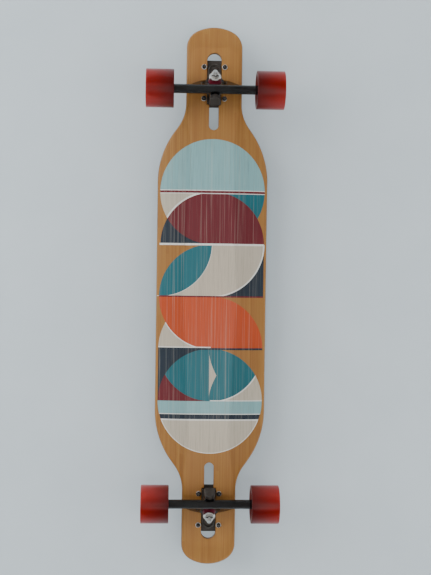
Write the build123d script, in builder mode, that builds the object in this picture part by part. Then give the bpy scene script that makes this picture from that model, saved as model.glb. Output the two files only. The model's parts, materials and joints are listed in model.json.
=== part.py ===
from build123d import *

import os
from math import asin, atan2, cos, degrees, radians, sin, tan

# A drop-through longboard with reverse kingpin trucks.
# Frame: +X towards the nose, +Y along the axles, +Z up, wheels standing on Z = 0,
# origin on the ground under the middle of the board. All sizes are millimetres.

# ---------------------------------------------------------------- driving sizes
# deck
deck_length = 1087.4
deck_width = 223.0
deck_thickness = 11.0
grip_thickness = 0.8
nose_width = 112.6
tail_width = 108.8
shoulder_angle = 36.0        # how steeply the outline narrows towards the trucks
shoulder_x = 286.5           # where the side line and the shoulder line would meet
shoulder_radius = 170.0
neck_radius = 80.0
tip_corner_radius = 38.0
tip_crown_depth = 42.6       # from the tip back to the centre of the corner arc
camber_height = 6.0
camber_blend = 80.0          # length of the arc that leads from a truck pad into the camber
tip_lift = 8.0
concave_rise = 8.0
concave_flat = 64.0          # width of the flat floor between the raised sides
deck_edge_radius = 1.6

# truck placing
truck_spacing = 860.4        # between the centres of the two hole patterns
truck_pad_length = 104.0
bolt_spacing_x = 63.5
bolt_spacing_y = 41.3
extra_spacing_x = 53.98      # from the inner pair of holes to the spare pair in the baseplate
bolt_hole_radius = 2.75
bolt_radius = 2.4
bolt_head_radius = 4.6
bolt_head_height = 2.8
bolt_head_edge = 0.8
bolt_socket_flats = 3.0
bolt_socket_depth = 1.8
bolt_nut_flats = 8.0
bolt_nut_height = 4.5
bolt_washer_radius = 5.4
bolt_washer_thickness = 1.0
bolt_protrusion = 0.8

# cutouts in the deck
cutout_width = 29.0
cutout_outer = 60.0          # from the pattern centre towards the tip
cutout_inner = 43.0          # from the pattern centre towards the middle
slot_width = 19.0
slot_inner = 94.5

# baseplate
base_length = 95.0
base_width = 57.0
base_thickness = 6.0
base_corner_radius = 9.0
boss_gap = 0.8               # between the boss and the cutout
boss_outer = 38.0
boss_inner = 41.0
boss_proud = 1.0             # how far the boss passes the underside of the deck
base_edge_radius = 1.5
pocket_wall = 3.2
pocket_depth = 4.4

# steering geometry, measured from the pattern centre on the mounting plane
steer_angle = 40.0           # of the steering axis to the board
ring_outward = -4.5
ring_drop = 33.0
axle_inward = 21.8
axle_drop = 63.0

# kingpin stack, along the kingpin from the middle of the hanger's ring
ring_thickness = 9.0
ring_radius = 17.5
ring_bore = 7.0
kingpin_radius = 4.75
bushing_bore_gap = 0.25
bushing_height = 12.5
bushing_wide_radius = 13.6
bushing_top_radius = 10.8
bushing_barrel_radius = 12.4
cup_washer_thickness = 2.0
cup_washer_wall = 1.0
cup_washer_gap = 0.6
cup_washer_lip = 1.6
kingpin_nut_flats = 14.3
kingpin_nut_height = 8.0
kingpin_tail = 4.0
kingpin_head_flats = 14.3
kingpin_head_height = 5.0
seat_thickness = 8.0
seat_gap = 0.8               # around the cup washer in the baseplate
kingpin_chamfer = 0.8
kingpin_head_gap = 0.15      # round the head in its socket in the baseplate
seat_inset = 0.1             # of the kingpin's seat inside the sides of the boss
arm_root = 3.5               # how far the arm starts below the boss
arm_blend = 1.0              # how far its back runs into the round of the housing
arm_front = 28.0             # the pivot's arm leaves the boss this far inward of the pattern centre

# pivot, along the steering axis from the middle of the ring
pivot_reach = 43.5           # to the mouth of the housing
pivot_tip_radius = 5.0
pivot_gap = 0.08
pivot_cup_wall = 2.0
pivot_cup_floor = 1.6
pivot_cup_inset = 0.3        # the cup stands this far inside the mouth of its housing
pivot_tip_gap = 0.3          # between the tip and the floor of the cup
pivot_cup_length = 8.6
pivot_housing_radius = 10.4
pivot_housing_wall = 3.0

# hanger
hanger_width = 180.0
hanger_tube_radius = 9.2
hanger_flare = 53.0          # half width where the wings leave the tube
wing_thickness = 8.0         # of the plate that runs from the ring to the tube
wing_root = 10.0             # how far past the ring's middle the wings begin
wing_sag = 4.5               # of the wings' hollow edge under the straight line between its ends
wing_bite = 1.0              # how far the wings run into the tube
web_thickness = 12.0
ring_shoulder = 7.0          # how far past the ring's middle it stays as wide as the ring
bushing_clearance = 0.6      # round the bushings where they stand on the ring
spine_half_width = 12.0
spine_taper = 3.0            # how much narrower the spine is at the pivot, on each side
spine_gap = 2.0              # between the spine and the pivot housing
spine_upper = 6.5            # the spine's faces at the pivot, above and below the steering axis
spine_lower = 7.0
ring_flat = 14.5             # from the middle of the ring to where the spine begins to thicken
web_inset = 0.5              # of the spine inside the round of the tube

# axle, wheel and bearing
axle_radius = 4.0
axle_tail = 2.0              # past the nut
axle_thread_radius = 3.9
axle_thread_length = 13.0
axle_chamfer = 0.6
axle_gap = 0.05
speed_washer_thickness = 1.0
speed_washer_radius = 6.5
axle_nut_flats = 12.7
axle_nut_height = 8.0
bearing_width = 7.0
bearing_outer_radius = 11.0
bearing_race_wall = 1.6      # of the outer ring
inner_race_wall = 2.05
ball_radius = 1.95
ball_gap = 0.06
ball_count = 7
shield_thickness = 0.4
shield_gap = 0.3
shield_inset = 0.5
bearing_spacing = 10.0
spacer_radius = 5.6
press_gap = 0.03
wheel_radius = 37.5
wheel_width = 55.0
wheel_overhang = 10.0         # the inner face lies this far inboard of the first bearing
wheel_edge_radius = 1.5
wheel_dish = 7.0
wheel_lip = 5.0              # flat ring left between the edge radius and the dish
core_radius = 19.5
core_margin = 1.2            # how far the core stops short of the outer faces of the bearing pair
core_shoulder_radius = 9.2

# ---------------------------------------------------------------- derived sizes
axle_z = wheel_radius
mount_z = axle_z + axle_drop
grip_bottom = mount_z - grip_thickness
deck_bottom = grip_bottom - deck_thickness
under_deck = grip_thickness + deck_thickness

k_out, k_down = sin(radians(steer_angle)), cos(radians(steer_angle))
ring_centre = Vector(ring_outward, 0, -ring_drop)
kingpin_dir = Vector(k_out, 0, -k_down)
steer_dir = Vector(-k_down, 0, -k_out)

half_ring = ring_thickness / 2
bushing_end = half_ring + bushing_height
washer_end = bushing_end + cup_washer_thickness
nut_end = washer_end + kingpin_nut_height
kingpin_end = nut_end + kingpin_tail
seat_bottom = washer_end
kingpin_head_top = seat_bottom + seat_thickness + kingpin_head_height

stack_start = hanger_width / 2 + speed_washer_thickness
bearing_inner_y = stack_start
bearing_outer_y = stack_start + bearing_width + bearing_spacing
stack_end = bearing_outer_y + bearing_width
axle_half = stack_end + speed_washer_thickness + axle_nut_height + axle_tail
inner_ring_radius = axle_radius + axle_gap + inner_race_wall
outer_ring_bore = bearing_outer_radius - bearing_race_wall
race_pitch = (outer_ring_bore + inner_ring_radius) / 2
wheel_inner_face = bearing_inner_y - wheel_overhang
wheel_outer_face = wheel_inner_face + wheel_width
cup_outer_radius = pivot_tip_radius + pivot_gap + pivot_cup_wall

os.makedirs("parts", exist_ok=True)


def save(builder, name):
    """Label a finished piece and write it as its own file."""
    builder.part.label = name
    export_step(builder.part, f"parts/{name}.step")


def on_truck(truck, origin, x_dir, z_dir):
    """A plane given in a truck's own frame: x outward, z up, origin on its mounting plane."""
    return Plane(truck.location * Plane(origin=origin, x_dir=x_dir, z_dir=z_dir).location)


def beside(outward, up):
    """A point of the truck's side view, given outward and up, as distances along and below
    the steering axis from the middle of the ring."""
    from_ring = Vector(outward, 0, up) - ring_centre
    return from_ring.dot(steer_dir), from_ring.dot(kingpin_dir)


def kingpin_plane(truck, distance):
    """The plane square to the kingpin, this far below the middle of the ring."""
    return on_truck(truck, ring_centre + kingpin_dir * distance, (0, 1, 0), kingpin_dir)


# ---------------------------------------------------------------- deck and grip
shoulder_run = tan(radians(shoulder_angle))


def board_outline():
    """The board seen from above: straight sides, shoulders, narrow ends and crowned tips."""
    half_length, half_width = deck_length / 2, deck_width / 2
    with BuildSketch() as outline:
        for end, end_width in ((1, nose_width), (-1, tail_width)):
            half_end = end_width / 2
            neck_x = shoulder_x + (half_width - half_end) / shoulder_run
            corner_x = half_length - tip_crown_depth
            corner_y = half_end - tip_corner_radius
            # the crown arc is centred on the middle line and touches the corner arcs
            crown_radius = (tip_crown_depth**2 + corner_y**2 - tip_corner_radius**2) / (
                2 * (tip_crown_depth - tip_corner_radius))
            crown_x = half_length - crown_radius
            touch = Vector(corner_x - crown_x, corner_y).normalized()
            touch_point = Vector(crown_x, 0) + touch * crown_radius
            crown_mid = Vector(crown_x, 0) + (Vector(1, 0) + touch).normalized() * crown_radius
            corner_mid = Vector(corner_x, corner_y) + (
                Vector(0, 1) + touch).normalized() * tip_corner_radius
            with BuildLine():
                side = FilletPolyline(
                    (0, half_width), (end * shoulder_x, half_width),
                    (end * neck_x, half_end), (end * corner_x, half_end),
                    radius=[shoulder_radius, neck_radius])
                corner = ThreePointArc(
                    side @ 1, (end * corner_mid.X, corner_mid.Y), (end * touch_point.X, touch_point.Y))
                crown = ThreePointArc(
                    corner @ 1, (end * crown_mid.X, crown_mid.Y), (end * half_length, 0))
                Polyline(crown @ 1, (0, 0), side @ 0)
            make_face()
        mirror(about=Plane.XZ)
    return outline.sketch


def board_layer(low, high):
    """A layer of the board between two heights over its underside.

    Its cross-section, a flat floor with raised sides, is swept along the side view of
    half a board: the camber, a level pad for the truck and the lifted tip.
    """
    half_bow = (truck_spacing - truck_pad_length) / 2
    camber_angle = 2 * degrees(atan2(camber_height, half_bow))
    blend_radius = camber_blend / sin(radians(camber_angle))
    bow_radius = (half_bow - camber_blend) / sin(radians(camber_angle))
    bow_top = (bow_radius + blend_radius) * (1 - cos(radians(camber_angle)))
    lift_run = deck_length / 2 + 4 - (truck_spacing + truck_pad_length) / 2
    lift_radius = (lift_run**2 + tip_lift**2) / (2 * tip_lift)
    rail_run = (deck_width - concave_flat) / 2
    rail_radius = (rail_run**2 + concave_rise**2) / (2 * concave_rise)
    rail_angle = degrees(asin(rail_run / rail_radius)) + 2
    base = deck_bottom + bow_top
    edge = concave_flat / 2
    with BuildPart() as layer:
        with BuildLine(Plane.XZ) as path:
            bow = JernArc((0, base), (1, 0), bow_radius, -camber_angle)
            blend = JernArc(bow @ 1, bow % 1, blend_radius, camber_angle)
            pad = Line(blend @ 1, (blend @ 1) + Vector(truck_pad_length, 0, 0))
            JernArc(pad @ 1, pad % 1, lift_radius, degrees(asin(lift_run / lift_radius)))
        with BuildSketch(Plane.YZ):
            with BuildLine():
                lower = JernArc((edge, base + low), (1, 0), rail_radius - low, rail_angle)
                upper = JernArc((edge, base + high), (1, 0), rail_radius - high, rail_angle)
                Line(lower @ 1, upper @ 1)
                Polyline(upper @ 0, (0, base + high), (0, base + low), lower @ 0)
            make_face()
            mirror(about=Plane.YZ)
        sweep(path=path.wires()[0])
        mirror(about=Plane.YZ)
    return layer.part


def truck_cutouts():
    """The keyhole openings and the bolt holes of both trucks, seen from above."""
    round_centre = cutout_outer - cutout_width / 2
    slot_centre = slot_inner - slot_width / 2
    with BuildSketch() as cutouts:
        for end in (1, -1):
            centre = end * truck_spacing / 2
            with Locations((centre + end * (round_centre - cutout_inner) / 2, 0)):
                Rectangle(round_centre + cutout_inner, cutout_width)
            with Locations((centre + end * round_centre, 0)):
                Circle(cutout_width / 2)
            with Locations((centre - end * slot_centre / 2, 0)):
                Rectangle(slot_centre, slot_width)
            with Locations((centre - end * slot_centre, 0)):
                Circle(slot_width / 2)
            with Locations((centre, 0)):
                with GridLocations(bolt_spacing_x, bolt_spacing_y, 2, 2):
                    Circle(bolt_hole_radius)
    return cutouts.sketch


with BuildSketch() as board_plan:
    add(board_outline())
    add(truck_cutouts(), mode=Mode.SUBTRACT)

for name, low, high in (("deck", 0, deck_thickness), ("griptape", deck_thickness, under_deck)):
    with BuildPart() as layer:
        add(board_layer(low, high))
        with BuildSketch():
            add(board_plan.sketch)
        extrude(amount=2 * mount_z, mode=Mode.INTERSECT)
    save(layer, name)

# ---------------------------------------------------------------- trucks
boss_half = cutout_width / 2 - boss_gap
boss_depth = under_deck + boss_proud
boss_round = boss_outer - boss_half
seat_radius = boss_half - seat_inset
arm_top = pivot_housing_radius - arm_blend
roadside_washer_radius = bushing_top_radius + cup_washer_gap + cup_washer_wall
boardside_washer_radius = bushing_barrel_radius + cup_washer_gap + cup_washer_wall
cup_start = pivot_reach + pivot_cup_inset
cup_end = cup_start + pivot_cup_length
housing_end = cup_end + pivot_housing_wall
tip_end = cup_end - pivot_cup_floor - pivot_tip_gap
axle_vector = Vector(-axle_inward, 0, -axle_drop) - ring_centre
axle_along = axle_vector.dot(steer_dir)
axle_rake = axle_vector.dot(kingpin_dir)
wing_dir = axle_vector.normalized()
wing_normal = Vector(-wing_dir.Z, 0, wing_dir.X)
wing_end = axle_vector.length - hanger_tube_radius + wing_bite
spine_end = pivot_reach - spine_gap
extra_hole_x = extra_spacing_x - bolt_spacing_x / 2

for truck_name, end in (("front", 1), ("rear", -1)):
    truck = Plane(origin=(end * truck_spacing / 2, 0, mount_z), x_dir=(end, 0, 0), z_dir=(0, 0, 1))
    side_plane = on_truck(truck, ring_centre, steer_dir, (0, -1, 0))
    axle_line = on_truck(truck, (-axle_inward, 0, -axle_drop), (1, 0, 0), (0, 1, 0))
    bolt_places = on_truck(truck, (0, 0, 0), (1, 0, 0), (0, 0, 1))
    # what turns on the axle stands in the same order from the hanger outwards on both sides
    axle_sides = [on_truck(truck, (-axle_inward, 0, -axle_drop), (side, 0, 0), (0, side, 0))
                  for side in (1, -1)]

    with BuildPart() as baseplate:
        with BuildSketch(bolt_places):
            RectangleRounded(base_length, base_width, base_corner_radius)
        extrude(amount=base_thickness)
        fillet(baseplate.faces().sort_by(Axis.Z)[-1].edges(), base_edge_radius)
        with BuildSketch(bolt_places):
            with Locations(((boss_round - boss_inner) / 2, 0)):
                Rectangle(boss_round + boss_inner, 2 * boss_half)
            with Locations((boss_round, 0)):
                Circle(boss_half)
        extrude(amount=-boss_depth)
        with BuildSketch(on_truck(truck, (0, 0, -boss_depth), (1, 0, 0), (0, 0, 1))):
            with Locations((boss_round / 2, 0)):
                Rectangle(boss_round, 2 * (boss_half - pocket_wall))
            with Locations((boss_round, 0)):
                Circle(boss_half - pocket_wall)
        extrude(amount=pocket_depth, mode=Mode.SUBTRACT)
        # the seat of the kingpin, a slanted boss that stands a little inside the flat one
        with BuildSketch(kingpin_plane(truck, -seat_bottom)):
            Circle(seat_radius)
        extrude(amount=-seat_thickness - kingpin_head_height / 2)
        # the arm that carries the pivot housing, a casting as wide as the housing
        with BuildSketch(side_plane):
            with BuildLine():
                Polyline(
                    beside(-arm_front, -boss_depth - arm_root), (pivot_reach, -arm_top), (pivot_reach, 0),
                    (housing_end, 0), (housing_end, -arm_top), beside(-boss_inner + boss_gap, -boss_depth),
                    beside(-boss_inner + boss_gap, -boss_depth / 2), beside(-arm_front, -boss_depth / 2),
                    close=True)
            make_face()
        extrude(amount=pivot_housing_radius, both=True)
        with BuildSketch(on_truck(truck, ring_centre + steer_dir * pivot_reach, (0, 1, 0), steer_dir)):
            Circle(pivot_housing_radius)
        extrude(amount=housing_end - pivot_reach)
        with BuildSketch(on_truck(truck, ring_centre + steer_dir * pivot_reach, (0, 1, 0), steer_dir)):
            Circle(cup_outer_radius + press_gap)
        extrude(amount=cup_end - pivot_reach, mode=Mode.SUBTRACT)
        with BuildSketch(kingpin_plane(truck, -seat_bottom)):
            Circle(boardside_washer_radius + seat_gap)
        extrude(amount=seat_bottom, mode=Mode.SUBTRACT)
        with BuildSketch(kingpin_plane(truck, -seat_bottom)):
            Circle(kingpin_radius + press_gap)
        extrude(amount=-seat_thickness, mode=Mode.SUBTRACT)
        with BuildSketch(kingpin_plane(truck, -seat_bottom - seat_thickness)):
            RegularPolygon(kingpin_head_flats / 2 + kingpin_head_gap, 6, major_radius=False)
        extrude(amount=-base_length / 2, mode=Mode.SUBTRACT)
        with BuildSketch(bolt_places):
            with GridLocations(bolt_spacing_x, bolt_spacing_y, 2, 2):
                Circle(bolt_hole_radius)
            with Locations((extra_hole_x, 0)):
                with GridLocations(0, bolt_spacing_y, 1, 2):
                    Circle(bolt_hole_radius)
        extrude(amount=base_thickness, mode=Mode.SUBTRACT)
    save(baseplate, f"{truck_name}_baseplate")

    with BuildPart() as kingpin:
        with BuildSketch(kingpin_plane(truck, kingpin_end)):
            Circle(kingpin_radius)
        extrude(amount=-(kingpin_end + seat_bottom + seat_thickness))
        chamfer(kingpin.edges().filter_by(GeomType.CIRCLE).sort_by(Axis.Z)[0], kingpin_chamfer)
        with BuildSketch(kingpin_plane(truck, -seat_bottom - seat_thickness)):
            RegularPolygon(kingpin_head_flats / 2, 6, major_radius=False)
        extrude(amount=-kingpin_head_height)
    save(kingpin, f"{truck_name}_kingpin")

    with BuildPart() as kingpin_nut:
        with BuildSketch(kingpin_plane(truck, washer_end)):
            RegularPolygon(kingpin_nut_flats / 2, 6, major_radius=False)
            Circle(kingpin_radius + press_gap, mode=Mode.SUBTRACT)
        extrude(amount=kingpin_nut_height)
    save(kingpin_nut, f"{truck_name}_kingpin_nut")

    with BuildPart() as bushing_roadside:
        with BuildSketch(kingpin_plane(truck, half_ring)):
            Circle(bushing_wide_radius)
        with BuildSketch(kingpin_plane(truck, bushing_end)):
            Circle(bushing_top_radius)
        loft()
        with BuildSketch(kingpin_plane(truck, half_ring)):
            Circle(kingpin_radius + bushing_bore_gap)
        extrude(amount=bushing_height, mode=Mode.SUBTRACT)
    save(bushing_roadside, f"{truck_name}_bushing_roadside")

    with BuildPart() as bushing_boardside:
        with BuildSketch(kingpin_plane(truck, -half_ring)):
            Circle(bushing_barrel_radius)
            Circle(kingpin_radius + bushing_bore_gap, mode=Mode.SUBTRACT)
        extrude(amount=-bushing_height)
    save(bushing_boardside, f"{truck_name}_bushing_boardside")

    for place, start, way, outer in (("roadside", bushing_end, 1, roadside_washer_radius),
                                     ("boardside", -bushing_end, -1, boardside_washer_radius)):
        with BuildPart() as cup_washer:
            with BuildSketch(kingpin_plane(truck, start)):
                Circle(outer)
                Circle(kingpin_radius + press_gap, mode=Mode.SUBTRACT)
            extrude(amount=way * cup_washer_thickness)
            with BuildSketch(kingpin_plane(truck, start)):
                Circle(outer)
                Circle(outer - cup_washer_wall, mode=Mode.SUBTRACT)
            extrude(amount=-way * cup_washer_lip)
        save(cup_washer, f"{truck_name}_washer_{place}")

    with BuildPart() as pivot_cup:
        with BuildSketch(on_truck(truck, ring_centre + steer_dir * cup_start, (0, 1, 0), steer_dir)):
            Circle(cup_outer_radius)
        extrude(amount=pivot_cup_length)
        with BuildSketch(on_truck(truck, ring_centre + steer_dir * cup_start, (0, 1, 0), steer_dir)):
            Circle(pivot_tip_radius + pivot_gap)
        extrude(amount=pivot_cup_length - pivot_cup_floor, mode=Mode.SUBTRACT)
    save(pivot_cup, f"{truck_name}_pivot_cup")

    with BuildPart() as hanger:
        # the spine seen along the kingpin: a ring with a rib that runs past the tube to the pivot
        spine_narrow = spine_half_width - spine_taper
        with BuildSketch(kingpin_plane(truck, -web_thickness)):
            with BuildLine():
                Polyline((spine_half_width, 0), (spine_half_width, -axle_along), (spine_narrow, -spine_end),
                         (-spine_narrow, -spine_end), (-spine_half_width, -axle_along), (-spine_half_width, 0),
                         close=True)
            make_face()
            Circle(ring_radius)
            with Locations((0, ring_shoulder / 2)):
                Rectangle(2 * ring_radius, ring_shoulder)
        extrude(amount=web_thickness + axle_rake + hanger_tube_radius)
        with BuildSketch(side_plane):
            with BuildLine():
                Polyline(
                    (-2 * ring_radius, -half_ring), (ring_flat, -half_ring), (axle_along, -spine_upper - 1),
                    (spine_end, -spine_upper), (spine_end, spine_lower),
                    (axle_along + spine_lower, axle_rake + spine_taper),
                    (axle_along, axle_rake + hanger_tube_radius - web_inset),
                    (axle_along - spine_lower, axle_rake + half_ring), (ring_flat, half_ring),
                    (-2 * ring_radius, half_ring), close=True)
            make_face()
        extrude(amount=2 * ring_radius, both=True, mode=Mode.INTERSECT)
        # the wings: a plate from the ring to the tube, whose hollow edges flare out along the tube
        with BuildSketch(on_truck(truck, ring_centre, (0, 1, 0), wing_normal)):
            with BuildLine():
                right = SagittaArc((ring_radius, wing_root), (hanger_flare, -wing_end), wing_sag)
                left = SagittaArc((-ring_radius, wing_root), (-hanger_flare, -wing_end), -wing_sag)
                Polyline(right @ 1, (hanger_flare, -axle_vector.length), (-hanger_flare, -axle_vector.length),
                         left @ 1)
                Line(left @ 0, right @ 0)
            make_face()
        extrude(amount=wing_thickness / 2, both=True)
        for face, away, radius in ((half_ring, 1, bushing_wide_radius), (-half_ring, -1, bushing_barrel_radius)):
            with BuildSketch(kingpin_plane(truck, face)):
                Circle(radius + bushing_clearance)
            extrude(amount=away * bushing_height, mode=Mode.SUBTRACT)
        with BuildSketch(axle_line):
            Circle(hanger_tube_radius)
        extrude(amount=hanger_width / 2, both=True)
        with BuildSketch(on_truck(truck, ring_centre + steer_dir * axle_along, (0, 1, 0), steer_dir)):
            Circle(pivot_tip_radius)
        extrude(amount=tip_end - axle_along)
        with BuildSketch(axle_line):
            Circle(axle_radius + axle_gap)
        extrude(amount=hanger_width, both=True, mode=Mode.SUBTRACT)
        with BuildSketch(kingpin_plane(truck, -web_thickness)):
            Circle(ring_bore)
        extrude(amount=2 * web_thickness, mode=Mode.SUBTRACT)
    save(hanger, f"{truck_name}_hanger")

    with BuildPart() as axle:
        with BuildSketch(axle_line):
            Circle(axle_radius)
        extrude(amount=axle_half - axle_thread_length, both=True)
        with BuildSketch(*[plane.offset(axle_half) for plane in axle_sides]):
            Circle(axle_thread_radius)
        extrude(amount=-axle_thread_length)
        chamfer(axle.faces().sort_by(Axis.Y)[0].edges(), axle_chamfer)
        chamfer(axle.faces().sort_by(Axis.Y)[-1].edges(), axle_chamfer)
    save(axle, f"{truck_name}_axle")

    bolt_top = base_thickness
    nut_face = -under_deck - bolt_washer_thickness
    with BuildPart() as bolts:
        with BuildSketch(on_truck(truck, (0, 0, bolt_top), (1, 0, 0), (0, 0, 1))):
            with GridLocations(bolt_spacing_x, bolt_spacing_y, 2, 2):
                Circle(bolt_head_radius)
        extrude(amount=bolt_head_height)
        fillet(bolts.faces().sort_by(Axis.Z)[-4:].edges(), bolt_head_edge)
        with BuildSketch(on_truck(truck, (0, 0, bolt_top + bolt_head_height), (1, 0, 0), (0, 0, 1))):
            with GridLocations(bolt_spacing_x, bolt_spacing_y, 2, 2):
                RegularPolygon(bolt_socket_flats / 2, 6, major_radius=False)
        extrude(amount=-bolt_socket_depth, mode=Mode.SUBTRACT)
        with BuildSketch(on_truck(truck, (0, 0, bolt_top), (1, 0, 0), (0, 0, 1))):
            with GridLocations(bolt_spacing_x, bolt_spacing_y, 2, 2):
                Circle(bolt_radius)
        extrude(amount=nut_face - bolt_nut_height - bolt_protrusion - bolt_top)
    save(bolts, f"{truck_name}_mounting_bolts")

    with BuildPart() as nuts:
        with BuildSketch(on_truck(truck, (0, 0, nut_face), (1, 0, 0), (0, 0, 1))):
            with GridLocations(bolt_spacing_x, bolt_spacing_y, 2, 2):
                RegularPolygon(bolt_nut_flats / 2, 6, major_radius=False)
                Circle(bolt_radius + press_gap, mode=Mode.SUBTRACT)
        extrude(amount=-bolt_nut_height)
    save(nuts, f"{truck_name}_mounting_nuts")

    with BuildPart() as bolt_washers:
        with BuildSketch(on_truck(truck, (0, 0, -under_deck), (1, 0, 0), (0, 0, 1))):
            with GridLocations(bolt_spacing_x, bolt_spacing_y, 2, 2):
                Circle(bolt_washer_radius)
                Circle(bolt_hole_radius, mode=Mode.SUBTRACT)
        extrude(amount=-bolt_washer_thickness)
    save(bolt_washers, f"{truck_name}_mounting_washers")

    with BuildPart() as speed_washers:
        for start in (hanger_width / 2, stack_end):
            with BuildSketch(*[plane.offset(start) for plane in axle_sides]):
                Circle(speed_washer_radius)
                Circle(axle_radius + axle_gap, mode=Mode.SUBTRACT)
            extrude(amount=speed_washer_thickness)
    save(speed_washers, f"{truck_name}_speed_washers")

    with BuildPart() as inner_rings:
        for start in (bearing_inner_y, bearing_outer_y):
            with BuildSketch(*[plane.offset(start) for plane in axle_sides]):
                Circle(inner_ring_radius)
                Circle(axle_radius + axle_gap, mode=Mode.SUBTRACT)
            extrude(amount=bearing_width)
        for start in (bearing_inner_y, bearing_outer_y):
            with Locations(*[plane.offset(start + bearing_width / 2) for plane in axle_sides]):
                Torus(race_pitch, ball_radius + ball_gap, mode=Mode.SUBTRACT)
    save(inner_rings, f"{truck_name}_bearing_inner_rings")

    with BuildPart() as spacers:
        with BuildSketch(*[plane.offset(bearing_inner_y + bearing_width) for plane in axle_sides]):
            Circle(spacer_radius)
            Circle(axle_radius + axle_gap, mode=Mode.SUBTRACT)
        extrude(amount=bearing_spacing)
    save(spacers, f"{truck_name}_bearing_spacers")

    with BuildPart() as axle_nuts:
        with BuildSketch(*[plane.offset(stack_end + speed_washer_thickness) for plane in axle_sides]):
            RegularPolygon(axle_nut_flats / 2, 6, major_radius=False)
            Circle(axle_radius + axle_gap, mode=Mode.SUBTRACT)
        extrude(amount=axle_nut_height)
    save(axle_nuts, f"{truck_name}_axle_nuts")

    # ------------------------------------------------------------ wheels
    for side_name, side in (("left", end), ("right", -end)):
        hub = axle_sides[0] if side > 0 else axle_sides[1]
        wheel = f"{truck_name}_{side_name}"
        core_start = bearing_inner_y - core_margin
        core_stop = stack_end + core_margin

        with BuildPart() as tyre:
            with BuildSketch(hub.offset(wheel_inner_face)):
                Circle(wheel_radius)
                Circle(core_radius + press_gap, mode=Mode.SUBTRACT)
            extrude(amount=wheel_width)
            rims = tyre.edges().filter_by(GeomType.CIRCLE).group_by(SortBy.RADIUS)[-1]
            fillet(rims, wheel_edge_radius)
            for face, inwards in ((wheel_inner_face, 1), (wheel_outer_face, -1)):
                with BuildSketch(hub.offset(face)):
                    Circle(wheel_radius - wheel_lip)
                with BuildSketch(hub.offset(face + inwards * wheel_dish)):
                    Circle(core_radius + press_gap)
                loft(mode=Mode.SUBTRACT)
        save(tyre, f"{wheel}_tyre")

        with BuildPart() as core:
            with BuildSketch(hub.offset(core_start)):
                Circle(core_radius)
                Circle(bearing_outer_radius + press_gap, mode=Mode.SUBTRACT)
            extrude(amount=core_stop - core_start)
            with BuildSketch(hub.offset(bearing_inner_y + bearing_width)):
                Circle(bearing_outer_radius + press_gap)
                Circle(core_shoulder_radius, mode=Mode.SUBTRACT)
            extrude(amount=bearing_spacing)
        save(core, f"{wheel}_core")

        with BuildPart() as outer_rings:
            for start in (bearing_inner_y, bearing_outer_y):
                with BuildSketch(hub.offset(start)):
                    Circle(bearing_outer_radius)
                    Circle(outer_ring_bore, mode=Mode.SUBTRACT)
                extrude(amount=bearing_width)
                with Locations(hub.offset(start + bearing_width / 2)):
                    Torus(race_pitch, ball_radius + ball_gap, mode=Mode.SUBTRACT)
        save(outer_rings, f"{wheel}_bearing_outer_rings")

        with BuildPart() as balls:
            for start in (bearing_inner_y, bearing_outer_y):
                with Locations(hub.offset(start + bearing_width / 2)):
                    with PolarLocations(race_pitch, ball_count):
                        Sphere(ball_radius)
        save(balls, f"{wheel}_bearing_balls")

        with BuildPart() as shields:
            for start in (bearing_inner_y, bearing_outer_y):
                for place in (shield_inset, bearing_width - shield_inset - shield_thickness):
                    with BuildSketch(hub.offset(start + place)):
                        Circle(outer_ring_bore - press_gap)
                        Circle(inner_ring_radius + shield_gap, mode=Mode.SUBTRACT)
                    extrude(amount=shield_thickness)
        save(shields, f"{wheel}_bearing_shields")
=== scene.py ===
"""The looks of a drop-through longboard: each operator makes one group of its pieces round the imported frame."""
import json
import math

import bmesh
import bpy
import numpy as np
from bpy.props import FloatProperty, FloatVectorProperty, IntProperty, PointerProperty
from mathutils import Matrix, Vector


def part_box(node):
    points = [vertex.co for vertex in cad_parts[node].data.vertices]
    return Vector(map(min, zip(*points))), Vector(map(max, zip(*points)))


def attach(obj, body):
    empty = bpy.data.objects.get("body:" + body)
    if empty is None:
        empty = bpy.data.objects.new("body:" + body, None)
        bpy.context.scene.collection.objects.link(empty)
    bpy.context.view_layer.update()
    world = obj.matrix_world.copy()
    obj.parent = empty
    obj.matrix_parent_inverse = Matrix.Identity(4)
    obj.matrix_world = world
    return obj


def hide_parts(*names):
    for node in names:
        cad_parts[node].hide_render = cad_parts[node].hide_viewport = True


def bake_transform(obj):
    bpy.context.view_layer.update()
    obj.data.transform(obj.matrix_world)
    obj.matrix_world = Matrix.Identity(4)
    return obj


bl_info = {
    "name": "Longboard Maker",
    "version": (1, 0, 0),
    "blender": (4, 5, 0),
    "location": "3D View > Sidebar > Longboard",
    "description": "Builds the finished pieces of a drop-through longboard round its frame",
    "category": "Object",
}

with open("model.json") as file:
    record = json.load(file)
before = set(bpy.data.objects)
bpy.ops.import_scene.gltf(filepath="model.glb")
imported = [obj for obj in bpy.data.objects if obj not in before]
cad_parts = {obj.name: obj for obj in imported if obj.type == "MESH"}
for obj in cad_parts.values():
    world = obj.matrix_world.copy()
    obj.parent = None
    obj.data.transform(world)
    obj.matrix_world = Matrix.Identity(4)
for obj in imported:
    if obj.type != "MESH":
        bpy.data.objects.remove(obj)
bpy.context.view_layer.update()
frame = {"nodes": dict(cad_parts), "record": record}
joints = {joint["name"]: joint for joint in frame["record"]["behaviour"]["joints"]}
deck_low, deck_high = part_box("deck")
washers_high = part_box("front_mounting_washers")[1]
tyre_low, tyre_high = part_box("front_left_tyre")

TRUCKS = (("front", 1), ("rear", -1))
SIDES = (("left", 1), ("right", -1))
WAIST = 0.035                # share of the radius by which the cone bushing draws in at its middle
BARREL = 0.015               # share of the radius by which the barrel bushing draws in at its ends
BUSHING_EDGE = 0.0007        # metres that a bushing's edges are drawn in
BEARING_WIDTH = 0.007
RACE_WALL = 0.0016           # of a bearing's outer ring
SHIELD_THICKNESS = 0.0004


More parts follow.
